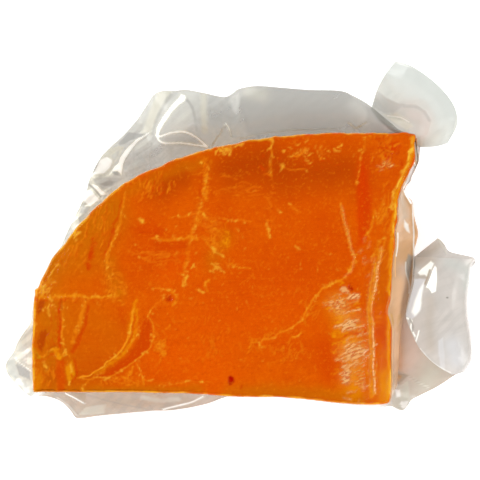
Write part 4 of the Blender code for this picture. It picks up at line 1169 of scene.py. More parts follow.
def write_paint(piece: bpy.types.Object, canvas: Canvas) -> None:
    """Keeps a canvas's colour and milkiness on the piece, for its finish to read."""
    tint = np.column_stack([np.clip(canvas.tint, 0, 1), np.ones(len(canvas.x))]).astype(np.float32)
    colours = piece.data.attributes.new("paint", "FLOAT_COLOR", "POINT")
    colours.data.foreach_set("color", tint.ravel())
    milk = piece.data.attributes.new("milk", "FLOAT", "POINT")
    milk.data.foreach_set("value", np.clip(canvas.milk, 0, 1).astype(np.float32))


def extrude_rings(piece: bpy.types.Object, rings: Sequence[np.ndarray], close: bool) -> None:
    """Extrudes the piece's open edge ring by ring, by the number each edge corner carries as its place.

    Args:
        piece: The piece, whose corners carry the tags place and level.
        rings: For each ring, the points that its corners go to, by place.
        close: Whether a last face closes the last ring.
    """
    bpy.context.view_layer.objects.active = piece
    bpy.ops.object.mode_set(mode="EDIT")
    bpy.ops.mesh.select_mode(type="VERT")
    bpy.ops.mesh.select_all(action="DESELECT")
    bpy.ops.mesh.select_non_manifold(
        extend=False,
        use_wire=True,
        use_boundary=True,
        use_multi_face=False,
        use_non_contiguous=False,
        use_verts=False,
    )
    for number, ring in enumerate(rings, start=1):
        bpy.ops.mesh.extrude_region()
        mesh = bmesh.from_edit_mesh(piece.data)
        place = mesh.verts.layers.int["place"]
        level = mesh.verts.layers.int["level"]
        for vert in mesh.verts:
            if vert.select:
                vert.co = ring[vert[place]]
                vert[level] = number
    if close:
        bpy.ops.mesh.edge_face_add()
        bpy.ops.mesh.select_all(action="SELECT")
        bpy.ops.mesh.normals_make_consistent(inside=False)
    bpy.ops.object.mode_set(mode="OBJECT")


def thicken(piece: bpy.types.Object, thickness: float) -> None:
    """Gives a sheet its thickness and applies it."""
    solid = piece.modifiers.new("film thickness", "SOLIDIFY")
    solid.thickness = thickness
    solid.offset = 0
    bpy.context.view_layer.objects.active = piece
    bpy.ops.object.modifier_apply(modifier=solid.name)


def shade(piece: bpy.types.Object, angle: float) -> None:
    """Shades a piece smooth but for the edges that are sharper than an angle in degrees."""
    bpy.ops.object.select_all(action="DESELECT")
    piece.select_set(True)
    bpy.context.view_layer.objects.active = piece
    bpy.ops.object.shade_smooth_by_angle(angle=math.radians(angle))


@dataclass(frozen=True)
class Skin:
    """A closed skin in the slice's form: a fine grid on top, then rings down the wall and in below."""

    form: SliceForm
    columns: int = FACE_COLUMNS
    rows: int = FACE_ROWS
    clearance: float = 0.0
    base: float = 0.15 * MM
    edge_steps: int = RIM_RINGS
    wall_steps: int = 12
    floor_shares: tuple[float, ...] = (0.04, 0.14, 0.32, 0.55, 0.8)
    smooth_below_rim: float = 2.5 * MM
    break_fade: float = 3 * MM
    cut_pits: float = 0.08 * MM
    rind_pits: float = 0.10 * MM
    break_crumbs: float = 0.4 * MM

    def build(self, name: str) -> bpy.types.Object:
        """Builds the skin as one closed mesh, its corners tagged with their place and level."""
        loop = self.form.outline(self.columns, self.rows)
        normals = outward(loop)
        loop = loop + self.clearance * normals
        inner = loop - self.form.edge_round * normals
        lower, right, upper, left = self.split(inner)
        plan = patch_between(lower, right, upper, left)
        piece, column, row = add_grid(name, self.columns, self.rows)
        spot = plan[row, column]
        height = self.form.face_height(spot[:, 0], spot[:, 1]) + self.clearance
        write_corners(piece, np.column_stack([spot, height]))
        write_tag(piece, "place", self.places(column, row))
        write_tag(piece, "level", np.zeros(len(column)))
        write_tag(piece, "inward", self.steps_inward(column, row))
        extrude_rings(piece, self.rings(loop, normals), close=True)
        return piece

    def split(self, loop: np.ndarray) -> tuple[np.ndarray, ...]:
        """The loop's lower, right, upper and left side, each from left to right or from bottom to top."""
        _, first, second, third, _ = side_ends(self.columns, self.rows)
        lower = loop[: first + 1]
        right = loop[first : second + 1]
        upper = loop[second : third + 1][::-1]
        left = np.vstack([loop[third:], loop[:1]])[::-1]
        return lower, right, upper, left

    def places(self, column: np.ndarray, row: np.ndarray) -> np.ndarray:
        """Index in the outline's loop of each corner on the grid's edge, and 0 for the rest."""
        _, first, _, third, last = side_ends(self.columns, self.rows)
        upper = (row == self.rows) & (column < self.columns)
        left = (column == 0) & (row > 0) & (row < self.rows)
        place = np.where(row == 0, column, 0)
        place = np.where(column == self.columns, first + row, place)
        place = np.where(upper, third - column, place)
        return np.where(left, last - row, place)

    def steps_inward(self, column: np.ndarray, row: np.ndarray) -> np.ndarray:
        """How many faces each corner lies in from the edge."""
        across = np.minimum(column, self.columns - column)
        return np.minimum(across, np.minimum(row, self.rows - row))

    def rings(self, loop: np.ndarray, normals: np.ndarray) -> list[np.ndarray]:
        """The rings round the rim, down the wall, round the lower edge and in below."""
        rim = self.form.face_height(loop[:, 0], loop[:, 1]) + self.clearance
        radius = self.form.edge_round
        turns = [math.pi / 2 * step / self.edge_steps for step in range(1, self.edge_steps + 1)]
        levels = []
        for turn in turns:
            levels.append((radius * (1 - math.sin(turn)), rim - radius * (1 - math.cos(turn))))
        for step in range(1, self.wall_steps + 1):
            share = step / self.wall_steps
            levels.append((0, (rim - radius) * (1 - share) + (self.base + radius) * share))
        for turn in turns:
            drop = radius * math.sin(turn)
            levels.append((radius * (1 - math.cos(turn)), np.full(len(loop), self.base + radius - drop)))
        rings = []
        for inset, height in levels:
            draw_in = inset + self.form.lean(loop, rim - height)
            rough = self.roughness(loop, height, rim)
            rings.append(np.column_stack([loop + (rough - draw_in)[:, None] * normals, height]))
        lowest = rings[-1]
        middle = lowest.mean(axis=0)
        for share in self.floor_shares:
            rings.append(lowest + share * (middle - lowest))
        return rings

    def roughness(self, loop: np.ndarray, height: np.ndarray, rim: np.ndarray) -> np.ndarray:
        """How far the wall stands out of its smooth form: pitted rind, crumbling break, smoother cuts."""
        run = lengths(loop)
        broken = np.clip((loop[:, 0] - self.form.broken_from_x) / self.break_fade, 0, 1)
        ball = self.form.on_ball(loop)
        depth = np.clip((rim - height) / self.smooth_below_rim, 0, 1)
        soft = value_noise(run, height, 5 * MM, 21) + 0.5 * value_noise(run, height, 2 * MM, 22)
        crumbly = value_noise(run, height, 3.5 * MM, 23) + 0.6 * value_noise(run, height, 1.6 * MM, 24)
        reach = self.cut_pits + self.rind_pits * ball
        return depth * (reach * soft + self.break_crumbs * broken * crumbly)


@dataclass(frozen=True)
class EdgeLine:
    """A thin line painted along the face's edge: its colour, its half width in metres and its strength."""

    tint: Colour
    half_width: float
    strength: float


@dataclass
class CheeseSlice:
    """The cheese: a cut face with its scores, gouges and crumbs, a rind, two cut walls and a broken one."""

    form: SliceForm = field(default_factory=SliceForm)
    flesh: Colour = (0.73, 0.099, 0.0005)
    rind_light: Colour = (0.52, 0.30, 0.075)
    rind_dark: Colour = (0.30, 0.145, 0.032)
    cut_wall: Colour = (0.66, 0.125, 0.001)
    rim_line: EdgeLine = EdgeLine((0.84, 0.45, 0.012), 0.5 * MM, 0.9)
    cut_line: EdgeLine = EdgeLine((1.0, 0.52, 0.030), 0.45 * MM, 0.8)
    red_swing: float = 0.05
    green_swing: float = 0.17
    rind_on_trimmed: float = 0.55
    wall_from_ring: float = 3.5
    wall_fade_rings: float = 2
    sharp_angle: float = 80

    def build(self) -> bpy.types.Object:
        """Builds, shapes and paints the cheese, and gives it its finish."""
        skin = Skin(self.form)
        piece = skin.build("dressed_cheese")
        corners = read_corners(piece)
        level = read_tag(piece, "level")
        canvas = Canvas(corners[:, :2], self.flesh, ground=self.form.face_height)
        self.mottle(canvas, corners)
        work_face(canvas)
        self.line_rim(canvas, corners, level, read_tag(piece, "inward"))
        self.paint_wall(canvas, skin, corners, level, read_tag(piece, "place"))
        corners[:, 2] += canvas.rise * face_share(level)
        write_corners(piece, corners)
        write_paint(piece, canvas)
        piece.data.materials.append(CheeseFinish().make())
        shade(piece, self.sharp_angle)
        return piece

    def mottle(self, canvas: Canvas, corners: np.ndarray) -> None:
        """Varies the flesh slowly between redder and yellower orange."""
        x, y = corners[:, 0], corners[:, 1]
        slow = 0.6 * value_noise(x, y, 13 * MM, 31) + 0.4 * value_noise(x, y, 5 * MM, 32)
        fine = value_noise(x, y, 1.7 * MM, 33)
        drag = value_noise(x * 0.25, y * 1.6, 2.2 * MM, 34)
        warm = slow + 0.5 * fine + 0.2 * drag
        canvas.tint[:, 0] *= 1 + self.red_swing * warm
        canvas.tint[:, 1] *= 1 + self.green_swing * warm

    def line_rim(self, canvas: Canvas, corners: np.ndarray, level: np.ndarray, inward: np.ndarray) -> None:
        """Paints the thin, broken golden line along the face's edge, but not where the slice is broken.

        Args:
            canvas: The cheese's canvas.
            corners: The piece's corners.
            level: The ring that each corner is on.
            inward: How many faces each corner of the face lies in from the edge.
        """
        spacing = (self.form.axis_end - self.form.rind_end) / FACE_COLUMNS
        turn = np.minimum(level, RIM_RINGS) / RIM_RINGS * math.pi / 2
        away = self.form.edge_round * (1 - np.sin(turn)) + np.where(level == 0, inward * spacing, 0)
        x, y = corners[:, 0], corners[:, 1]
        ragged = 0.75 + 0.5 * value_noise(x, y, 4 * MM, 41) + 0.4 * value_noise(x, y, 1.3 * MM, 42)
        ragged = np.clip(ragged, 0.05, 2)
        skin = ((y > self.form.skin_from_y) & (x < self.form.skin_to_x)) | (x < self.form.trimmed_to_x)
        cut = ~skin & ~(x > self.form.broken_from_x)
        for line, where in ((self.rim_line, skin), (self.cut_line, cut)):
            fade = np.exp(-((away / (line.half_width * ragged)) ** 2))
            canvas.tinge(where * line.strength * np.minimum(ragged, 1) * fade, line.tint)

    def paint_wall(
        self, canvas: Canvas, skin: Skin, corners: np.ndarray, level: np.ndarray, place: np.ndarray
    ) -> None:
        """Paints rind on the ball's skin and the trimmed side, and plain flesh on the cuts.

        Args:
            canvas: The cheese's canvas.
            skin: The skin that the piece was built by.
            corners: The piece's corners.
            level: The ring that each corner is on.
            place: Each corner's place along the outline.
        """
        loop = self.form.outline(skin.columns, skin.rows)
        run = lengths(loop)[place]
        z = corners[:, 2]
        trimmed = np.clip((self.form.trimmed_to_x - loop[:, 0]) / MM, 0, 1)
        rind = np.maximum(self.form.on_ball(loop), self.rind_on_trimmed * trimmed)[place]
        below = np.clip((level - self.wall_from_ring) / self.wall_fade_rings, 0, 1)
        mould = 0.5 + 0.5 * value_noise(run, z, 4.5 * MM, 51) + 0.35 * value_noise(run, z, 1.3 * MM, 52)
        mould = np.clip(mould, 0, 1)[:, None]
        skin_tint = (1 - mould) * np.array(self.rind_dark) + mould * np.array(self.rind_light)
        drag = value_noise(run * 1.3, z * 0.7, 2 * MM, 53) + value_noise(run, z, 7 * MM, 54)
        flesh = np.array(self.cut_wall) * (1 + 0.06 * drag)[:, None]
        canvas.tinge(below, flesh + rind[:, None] * (skin_tint - flesh))


def face_share(level: np.ndarray) -> np.ndarray:
    """How much of the face's relief each corner takes: all on the face, less round the rim, none below."""
    return np.clip(1 - level / RIM_RINGS, 0, 1)


def work_face(canvas: Canvas) -> None:
    """Lays all marks of the cut face on a canvas: broad zones, patches of strokes, then single marks."""
    for zone in ZONES:
        canvas.stroke(zone, broad=True)
    for number, patch in enumerate(FIELDS):
        canvas.scatter(patch, 100 + number)
    for mark in MARKS:
        canvas.stroke(mark)


@dataclass
class ClingingFilm:
    """The part of the pouch that clings to the cheese: it follows the marks, but spans pits and gouges."""

    form: SliceForm = field(default_factory=SliceForm)
    clearance: float = 0.12 * MM
    deepest_dip: float = 0.3 * MM
    seam_height: float = 12 * MM
    gathered: float = 8 * MM
    pleat_depth: float = 0.3 * MM
    pleat_width: float = 4 * MM
    pleat_milk: float = 0.45
    # The painted highlight where the film bends over the ball's rim: how milky it is and on which ring it
    # lies
    rim_highlight_milk: float = 0.3
    rim_highlight_ring: float = 2.6
    wrinkle_depth: float = 0.05 * MM
    fine_wrinkle_depth: float = 0.03 * MM
    floor_gap: float = 0.02 * MM
    stray: float = 0.5
    sharp_angle: float = 80

    def build(self) -> bpy.types.Object:
        """Builds the film round the whole slice."""
        skin = Skin(self.form, clearance=self.clearance, base=self.floor_gap)
        piece = skin.build("clinging_film")
        corners = read_corners(piece)
        level = read_tag(piece, "level")
        tint = Kind.GLINT.value.tint
        canvas = Canvas(corners[:, :2], tint, is_film=True, stray=self.stray, ground=self.form.face_height)
        work_face(canvas)
        rise = np.maximum(canvas.rise, -self.deepest_dip)
        x, y = corners[:, 0], corners[:, 1]
        wrinkles = self.wrinkle_depth * np.abs(value_noise(x, y, 2.4 * MM, 61))
        fine_wrinkles = self.fine_wrinkle_depth * np.abs(value_noise(x, y, MM, 62))
        corners[:, 2] += (rise + (wrinkles + fine_wrinkles)) * face_share(level)
        canvas.milk *= face_share(level)
        place = read_tag(piece, "place")
        on_ball = self.form.on_ball(self.form.outline(skin.columns, skin.rows))[place]
        # Painted highlight: milky white along the film's bend over the ball's rim
        rim = self.rim_highlight_milk * on_ball * np.exp(-((level - self.rim_highlight_ring) ** 2))
        canvas.milk += rim * (1 - canvas.milk)
        canvas.tinge(np.minimum(3 * rim, 1), Kind.SNOW.value.tint)
        self.gather(canvas, skin, corners, level, place)
        write_corners(piece, corners)
        write_paint(piece, canvas)
        piece.data.materials.append(FilmFinish("clinging film", head_on=0.005, break_up=0.7).make())
        shade(piece, self.sharp_angle)
        return piece

    def gather(
        self, canvas: Canvas, skin: Skin, corners: np.ndarray, level: np.ndarray, place: np.ndarray
    ) -> None:
        """Gathers the film on the wall into milky pleats that run to the pouch's seam.

        Args:
            canvas: The film's canvas.
            skin: The skin that the film was built by.
            corners: The film's corners, which are moved.
            level: The ring that each corner is on.
            place: Each corner's place along the outline.
        """
        loop = self.form.outline(skin.columns, skin.rows)
        run = lengths(loop)[place]
        last = skin.edge_steps + skin.wall_steps
        wall = np.clip((level - skin.edge_steps) / 3, 0, 1) * np.clip((last - level) / 2, 0, 1)
        pleats = creases(run, 0.5 * corners[:, 2], self.pleat_width, 95)
        share = wall * np.exp(-(((corners[:, 2] - self.seam_height) / self.gathered) ** 2))
        corners[:, :2] += (self.pleat_depth * pleats * share)[:, None] * outward(loop)[place]
        cover = share * np.clip(2 * pleats - 0.7, 0, 1)
        canvas.milk += self.pleat_milk * cover
        canvas.tinge(np.minimum(3 * cover, 1), Kind.SILK.value.tint)


@dataclass
class CrumpledMargin:
    """The pouch's welded margin all round the slice, with its flaps, folds and crumples."""

    form: SliceForm = field(default_factory=SliceForm)
    columns: int = 820
    rows: int = 58
    fine_share: float = 2.2
    seam_height: float = 12 * MM
    spread: float = 9 * MM
    thickness: float = 0.16 * MM
    wall_columns: int = 216
    wall_rows: int = 144
    wall_clearance: float = 0.3 * MM
    sharp_angle: float = 35

    def build(self) -> bpy.types.Object:
        """Builds the margin as a ring that is extruded outwards row by row."""
        edge = self.free_edge()
        root = self.roots(edge)
        steps = np.hypot(*np.diff(edge[:, :2], axis=0).T) + np.hypot(*np.diff(root, axis=0).T)
        crumpled = (edge[1:, 0] < 0) & (edge[1:, 1] > 0)
        steps *= np.where(crumpled, self.fine_share, 1)
        run = np.r_[0, np.cumsum(steps)]
        picks = np.searchsorted(run, np.linspace(0, run[-1], self.columns, endpoint=False))
        edge, root = edge[picks], root[picks]
        bpy.ops.object.select_all(action="DESELECT")
        bpy.ops.mesh.primitive_circle_add(vertices=self.columns, fill_type="NOTHING", location=(0, 0, 0))
        piece = bpy.context.object
        piece.name = piece.data.name = "crumpled_margin"
        write_corners(piece, self.section(root, edge, 0.0))
        write_tag(piece, "place", np.arange(self.columns))
        write_tag(piece, "level", np.zeros(self.columns))
        rings = [self.section(root, edge, step / self.rows) for step in range(1, self.rows + 1)]
        extrude_rings(piece, rings, close=False)
        self.dress(piece, edge)
        return piece

    def free_edge(self) -> np.ndarray:
        """The free edge as many points: x, y and z, then what Station names, in metres where it is a size."""
        stations = []
        for flap in FLAPS:
            for point in PHOTO.space(flap.edge):
                looks = (flap.milk, flap.crumple * MM, *flap.kind.value.tint)
                stations.append((*point, flap.root * MM, flap.arch * MM, *looks))
        return smooth_path(np.array(stations), 8 * self.columns, closed=True)

    def roots(self, edge: np.ndarray) -> np.ndarray:
        """For each point of the free edge, the place on the wall that it springs from, spread at corners."""
        wall = self.form.wall(self.seam_height, self.wall_clearance, self.wall_columns, self.wall_rows)
        run = lengths(wall)
        length = run[-1] + np.linalg.norm(wall[0] - wall[-1])
        nearest = [np.linalg.norm(wall - point, axis=1).argmin() for point in edge[:, :2]]
        place = np.unwrap(run[nearest] / length * 2 * math.pi)
        even = np.sign(place[-1] - place[0]) * np.linspace(0, 2 * math.pi, len(edge), endpoint=False)
        stray = place - even
        reach = round(len(edge) * self.spread / length)
        weights = np.exp(-0.5 * (np.arange(-3 * reach, 3 * reach + 1) / reach) ** 2)
        padded = np.r_[stray[-3 * reach :], stray, stray[: 3 * reach]]
        place = even + np.convolve(padded, weights / weights.sum(), mode="valid")
        ahead = np.mod(place, 2 * math.pi) * length / (2 * math.pi)
        closed = np.vstack([wall, wall[:1]])
        return np.column_stack([np.interp(ahead, np.r_[run, length], closed[:, axis]) for axis in (0, 1)])

    def section(self, root: np.ndarray, edge: np.ndarray, share: float) -> np.ndarray:
        """The ring of points at a share of the way from the root to the free edge."""
        start = np.column_stack([root, edge[:, Station.ROOT]])
        points = start + share * (edge[:, :3] - start)
        points[:, 2] += edge[:, Station.ARCH] * 4 * share * (1 - share)
        return points

    def dress(self, piece: bpy.types.Object, edge: np.ndarray) -> None:
        """Crumples and paints the margin, and gives it thickness and finish."""
        corners = read_corners(piece)
        share = read_tag(piece, "level") / self.rows
        place = read_tag(piece, "place")
        canvas = Canvas(corners[:, :2], Kind.PEARL.value.tint, is_film=True, stray=LOOSE_STRAY)
        canvas.tint[:] = edge[place, Station.TINT :]
        canvas.milk[:] = edge[place, Station.MILK]
        for zone in MARGIN_ZONES:
            canvas.stroke(zone, broad=True)
        crumple_film(canvas, corners, edge[place, Station.CRUMPLE])
        for mark in MARGIN_MARKS:
            canvas.stroke(mark)
        corners[:, 2] += canvas.rise * np.clip(3 * share, 0, 1)
        write_corners(piece, corners)
        write_paint(piece, canvas)
        piece.data.materials.append(FilmFinish("crumpled film").make())
        thicken(piece, self.thickness)
        shade(piece, self.sharp_angle)


def creases(x: np.ndarray, y: np.ndarray, size: float, seed: int) -> np.ndarray:
    """Height from 0 to about 1 of film that is crumpled into flat facets between straight creases.

    Args:
        x: Places along one way, in metres.
        y: Places along the other way.
        size: Usual width of a facet, in metres.
        seed: Which crumpling it is.

    Returns:
        One height for each place.
    """
    rng = np.random.default_rng(seed)
    height = np.zeros(len(x))
    for number in range(5):
        turn = rng.uniform(0, math.pi)
        width = size * rng.uniform(1.2, 2.8)
        bend = 0.3 * value_noise(x, y, 3 * size, seed + number)
        phase = (x * math.cos(turn) + y * math.sin(turn)) / width + bend + rng.uniform()
        where = np.clip(0.5 + 1.4 * value_noise(x, y, 2.2 * size, seed + 20 + number), 0, 1)
        height += where * np.abs(2 * (phase - np.round(phase)))
    return height / 2


def crumple_film(canvas: Canvas, corners: np.ndarray, depth: float | np.ndarray) -> None:
    """Crumples a film, and makes the facets that face the window paler and the others darker.

    Args:
        canvas: The film's canvas.
        corners: The film's corners.
        depth: Height of the crumples, in metres, one for all or one for each corner.
    """
    x, y = corners[:, 0], corners[:, 1]
    step = 0.2 * MM
    light = np.zeros(len(x))
    for size, share, seed in CRUMPLES:
        height = share * creases(x, y, size, seed)
        toward = share * creases(x - LIGHT_RUNS[0] * step, y - LIGHT_RUNS[1] * step, size, seed)
        canvas.rise += depth * height
        light += (height - toward) / step * depth
    lit = np.tanh(2.2 * light)
    canvas.tint *= (1 + 0.75 * lit)[:, None]
    canvas.milk *= 1 + 0.2 * lit


@dataclass
class LoftedFilm:
    """A loose sheet of the pouch, lofted through rows of points in metres."""

    name: str
    rows: Sequence[np.ndarray]
    kind: Kind
    milk: float
    marks: tuple[Mark, ...]
    fineness: tuple[int, int]
    crumple: float
    thickness: float = 0.16 * MM
    rise_share: float = 0.6
    curve_steps: int = 12
    sharp_angle: float = 50

    def build(self) -> bpy.types.Object:
        """Builds, paints and thickens the sheet."""
        along, across = self.fineness
        lines = np.array([smooth_path(row, along + 1) for row in self.rows])
        finer = self.curve_steps * (across + 1)
        curves = [smooth_path(lines[:, number], finer) for number in range(along + 1)]
        surface = np.array([evenly(curve, across + 1, in_space=True) for curve in curves])
        piece, column, row = add_grid(self.name, along, across)
        corners = surface[column, row]
        tint = self.kind.value.tint
        canvas = Canvas(corners[:, :2], tint, milk=self.milk, is_film=True, stray=LOOSE_STRAY)
        crumple_film(canvas, corners, self.crumple)
        for mark in self.marks:
            canvas.stroke(mark, broad=mark.half_width > BROAD_FROM)
        corners[:, 2] += self.rise_share * canvas.rise
        write_corners(piece, corners)
        write_paint(piece, canvas)
        piece.data.materials.append(FilmFinish(self.name.replace("_", " ")).make())
        thicken(piece, self.thickness)
        shade(piece, self.sharp_angle)
        return piece


# The curled corner, from the margin out over the cone, the fold line and the lip to the rim
CURL_ROWS = (
    (
        (371, 110, 12), (379, 120, 12), (389, 129, 12), (397, 134, 12), (404, 138, 11), (410, 142, 11),
        (413, 146.5, 11),
    ),
    (
        (374.5, 98, 11), (383, 109, 11), (395, 117.5, 11), (406, 121, 12), (414, 125, 12.5),
        (418.5, 133, 12.5), (417.5, 146.6, 12),
    ),
    (
        (378.5, 87, 15), (386.5, 95.5, 16), (399, 103, 17), (415, 104.5, 18.5), (425, 112, 19),
        (428, 125, 17.5), (425, 147, 13.5),
    ),
    (
        (386, 73.5, 19), (400, 80, 20.5), (417, 88.5, 21.5), (432, 100, 22), (441, 113, 21.5),
        (442.5, 128, 19.5), (437, 146, 14.5),
    ),
    (
        (395.5, 61.5, 19), (411, 66, 21), (430.5, 79, 22), (446, 94, 22.5), (455.3, 109, 22),
        (456.8, 125, 20), (447.5, 143, 15),
    ),
)

# The two long edges of the rolled corner's front, from its upper end to its lower end
ROLL_FREE_EDGE = (
    (416, 257, 15), (415, 268, 17), (413.4, 285, 18), (408.4, 303, 18), (406, 316, 18), (409, 326, 18),
    (414, 338, 18), (420, 349, 17.5), (429, 359, 16.5), (439, 367, 15), (452, 374.5, 13),
)
ROLL_OUTER_EDGE = (
    (475, 259, 14), (470.6, 266.6, 14), (468.6, 281, 14), (466.6, 299, 14), (467.4, 318, 14),
    (470, 335, 14), (471.4, 350, 14), (470, 361, 13.5), (464, 370, 12),
)

# The roll's lines, each at a share of the way from the outer edge to the free edge, and its lift (mm)
ROLL_LINES = ((0.05, -3.0), (-0.012, -1.4), (0.0, 0.6), (0.07, 2.4), (0.3, 3.2), (0.65, 2.2), (1.0, 0.0))
ROLL_STATIONS = 40

# The film behind the rolled corner: its free edge, then two lines that lie under the roll
BACK_ROWS = (
    (
        (413.6, 257.4, 12.5), (425, 248.4, 13), (435, 240.4, 14), (438.4, 238.4, 14), (444, 244, 14),
        (449, 251.2, 13.6), (460, 254.4, 13.2), (472, 257, 13), (475.4, 259.5, 12.8),
    ),
    (
        (413.6, 262, 12.5), (424, 256, 13), (434, 252, 13.6), (438, 251, 13.8), (444, 253, 13.8),
        (449, 257, 13.4), (459, 260, 13), (468, 262, 12.8), (474.6, 263.4, 12.6),
    ),
    (
        (413.6, 275, 12.5), (424, 275, 13), (434, 275, 13), (438, 275, 13), (444, 275, 13), (449, 275, 13),
        (456, 275, 13), (462, 274, 12.8), (468, 271, 12.6),
    ),
)

BACK_MARKS = (
    Mark("beige back", Kind.MUSHROOM, ((418, 256), (430, 250), (438, 244)), 8, 0.6, 13),
    Mark("fold of the back", Kind.CREAM, ((438.6, 239), (443, 247), (447, 254)), 0.8, 0.6, 14),
)

# The seam that stands out beside the broken side, from the upper axis corner down
BRIDGE_SEAM = (
    (416.4, 138, 22), (417, 150, 20), (418.6, 160, 18), (415.5, 168, 18), (411.8, 176, 18),
    (409.6, 182.5, 18), (403, 187, 19), (405.4, 194, 17), (409.6, 200, 16), (412.8, 206, 15),
    (413.8, 216, 14), (417, 228, 13.5), (417.8, 234, 13.5), (416.6, 241, 13.5), (414.4, 248, 14),
    (413.8, 262, 14), (411.8, 280, 14), (408, 300, 14), (405.5, 313, 13.5), (402, 325, 13),
    (399.5, 345, 13), (398.5, 365, 13), (397, 385, 12),
)

# Where the bridging film starts and ends, counted in sides of the outline, and its stations in between
BRIDGE_SPAN = (1.97, 1.0)
BRIDGE_STATIONS = 60
# Its two lines at the rim: how far each lies out from the rim and how far below it (mm)
BRIDGE_TUCKS = ((-0.1, 1.1), (0.4, 1.4))
# Its lines on the way to the seam: the share of the way and how deep it sags there (mm)
BRIDGE_SAGS = ((0.3, 0.7), (0.7, 0.6), (1.0, 0.0))
# Its last line, tucked in below the seam: the share of the way and the height (mm)
BRIDGE_END = (0.93, 11)


def sheet_rows(rows: Sequence[Route]) -> list[np.ndarray]:
    """Rows of a loose sheet, from photo pixels to metres."""
    return [PHOTO.space(row) for row in rows]


def roll_rows() -> list[np.ndarray]:
    """Rows across the rolled corner: from under its outer edge, round the roll and back to its free edge."""
    edges = (ROLL_OUTER_EDGE, ROLL_FREE_EDGE)
    outer, free = (smooth_path(PHOTO.space(edge), ROLL_STATIONS) for edge in edges)
    return [outer + share * (free - outer) + (0, 0, lift * MM) for share, lift in ROLL_LINES]


def bridge_rows(form: SliceForm) -> list[np.ndarray]:
    """Rows of the film that spans from the broken side's rim to the seam, and tucks in below it."""
    plan, normals = form.stretch(*BRIDGE_SPAN, BRIDGE_STATIONS)
    rim = form.face_height(plan[:, 0], plan[:, 1])
    seam = smooth_path(PHOTO.space(BRIDGE_SEAM), BRIDGE_STATIONS)
    rows = [np.column_stack([plan + out * MM * normals, rim - drop * MM]) for out, drop in BRIDGE_TUCKS]
    start = rows[-1]
    for share, sag in BRIDGE_SAGS:
        rows.append(start + share * (seam - start) - (0, 0, sag * MM))
    share, height = BRIDGE_END
    tucked = start + share * (seam - start)
    tucked[:, 2] = height * MM
    return [*rows, tucked]


class Signal:
    """A node's output that takes part in arithmetic: each operation adds one Math node."""

    def __init__(self, bench: "Bench", socket: bpy.types.NodeSocket) -> None:
        """Wraps an output socket of a bench's tree."""
        self.bench = bench
        self.socket = socket

    def math(self, operation: str, first: Any, second: Any) -> "Signal":
        """Adds one Math node on two values."""
        return self.bench.signal("ShaderNodeMath", {"operation": operation}, {0: first, 1: second})

    def __add__(self, other: Any) -> "Signal":
        """This plus another value."""
        return self.math("ADD", self, other)

    def __radd__(self, other: Any) -> "Signal":
        """Another value plus this."""
        return self.math("ADD", other, self)

    def __sub__(self, other: Any) -> "Signal":
        """This less another value."""
        return self.math("SUBTRACT", self, other)

    def __rsub__(self, other: Any) -> "Signal":
        """Another value less this."""
        return self.math("SUBTRACT", other, self)

    def __mul__(self, other: Any) -> "Signal":
        """This times another value."""
        return self.math("MULTIPLY", self, other)

    def __rmul__(self, other: Any) -> "Signal":
        """Another value times this."""
        return self.math("MULTIPLY", other, self)

    def power(self, exponent: float) -> "Signal":
        """This to a power."""
        return self.math("POWER", self, exponent)

    def __truediv__(self, other: Any) -> "Signal":
        """This over another value."""
        return self.math("DIVIDE", self, other)


class Bench:
    """The node tree of one finish or of the room's light, and the one way to add to it."""

    def __init__(self, owner: bpy.types.Material | bpy.types.World) -> None:
        """Starts a new material or world with an empty tree."""
        self.owner = owner
        self.owner.use_nodes = True
        self.tree = self.owner.node_tree
        self.tree.nodes.clear()

    def node(self, kind: str, settings: dict, sockets: dict) -> bpy.types.Node:
        """Adds a node.

        Args:
            kind: The node's type.
            settings: Its settings, which are set first.
            sockets: Values or signals for its inputs, by name or number.

        Returns:
            The new node.
        """
        node = self.tree.nodes.new(kind)
        for name, value in settings.items():
            setattr(node, name, value)
        for name, value in sockets.items():
            if isinstance(value, Signal):
                self.tree.links.new(value.socket, node.inputs[name])
            else:
                node.inputs[name].default_value = value
        return node

    def signal(self, kind: str, settings: dict, sockets: dict, output: int | str = 0) -> Signal:
        """Adds a node and hands back one of its outputs."""
        return Signal(self, self.node(kind, settings, sockets).outputs[output])

    def blend(self, factor: Any, first: Any, second: Any) -> Signal:
        """Mixes two colours."""
        sockets = {0: factor, 6: self.opaque(first), 7: self.opaque(second)}
        return self.signal("ShaderNodeMix", {"data_type": "RGBA"}, sockets, 2)

    def opaque(self, colour: Any) -> Any:
        """A colour with its alpha, or the signal as it is."""
        return colour if isinstance(colour, Signal) else (*colour, 1.0)

    def attribute(self, name: str, output: str) -> Signal:
        """What each corner of the piece carries under a name."""
        return self.signal("ShaderNodeAttribute", {"attribute_name": name}, {}, output)

    def place(self, stretch: Stretch = (1, 1, 1), turn: float = 0.0) -> Signal:
        """Object coordinates that lengthen a texture by a stretch, on axes turned about Z in degrees."""
        here = self.signal("ShaderNodeTexCoord", {}, {}, "Object")
        sockets = {"Vector": here, "Scale": stretch, "Rotation": (0, 0, math.radians(turn))}
        return self.signal("ShaderNodeMapping", {"vector_type": "TEXTURE"}, sockets)

    def noise(self, where: Signal, size: float, detail: float) -> Signal:
        """Noise whose lumps are about a size in metres, from 0 to 1."""
        return self.signal("ShaderNodeTexNoise", {}, {"Vector": where, "Scale": 1 / size, "Detail": detail})

    def ramp(self, value: Signal, low: float, high: float) -> Signal:
        """Runs from 0 at the low value to 1 at the high one, and no further."""
        sockets = {"Value": value, "From Min": low, "From Max": high}
        return self.signal("ShaderNodeMapRange", {"clamp": True}, sockets)

    def bump(self, height: Signal, depth: float, strength: float) -> Signal:
        """A normal that is tilted by a height, whose full range is a depth in metres."""
        return self.signal("ShaderNodeBump", {}, {"Height": height, "Distance": depth, "Strength": strength})

    def close(self, shader: Signal, output: str = "ShaderNodeOutputMaterial") -> Any:
        """Sends a shader to the tree's output, and hands back the material or world."""
        self.node(output, {}, {"Surface": shader})
        return self.owner


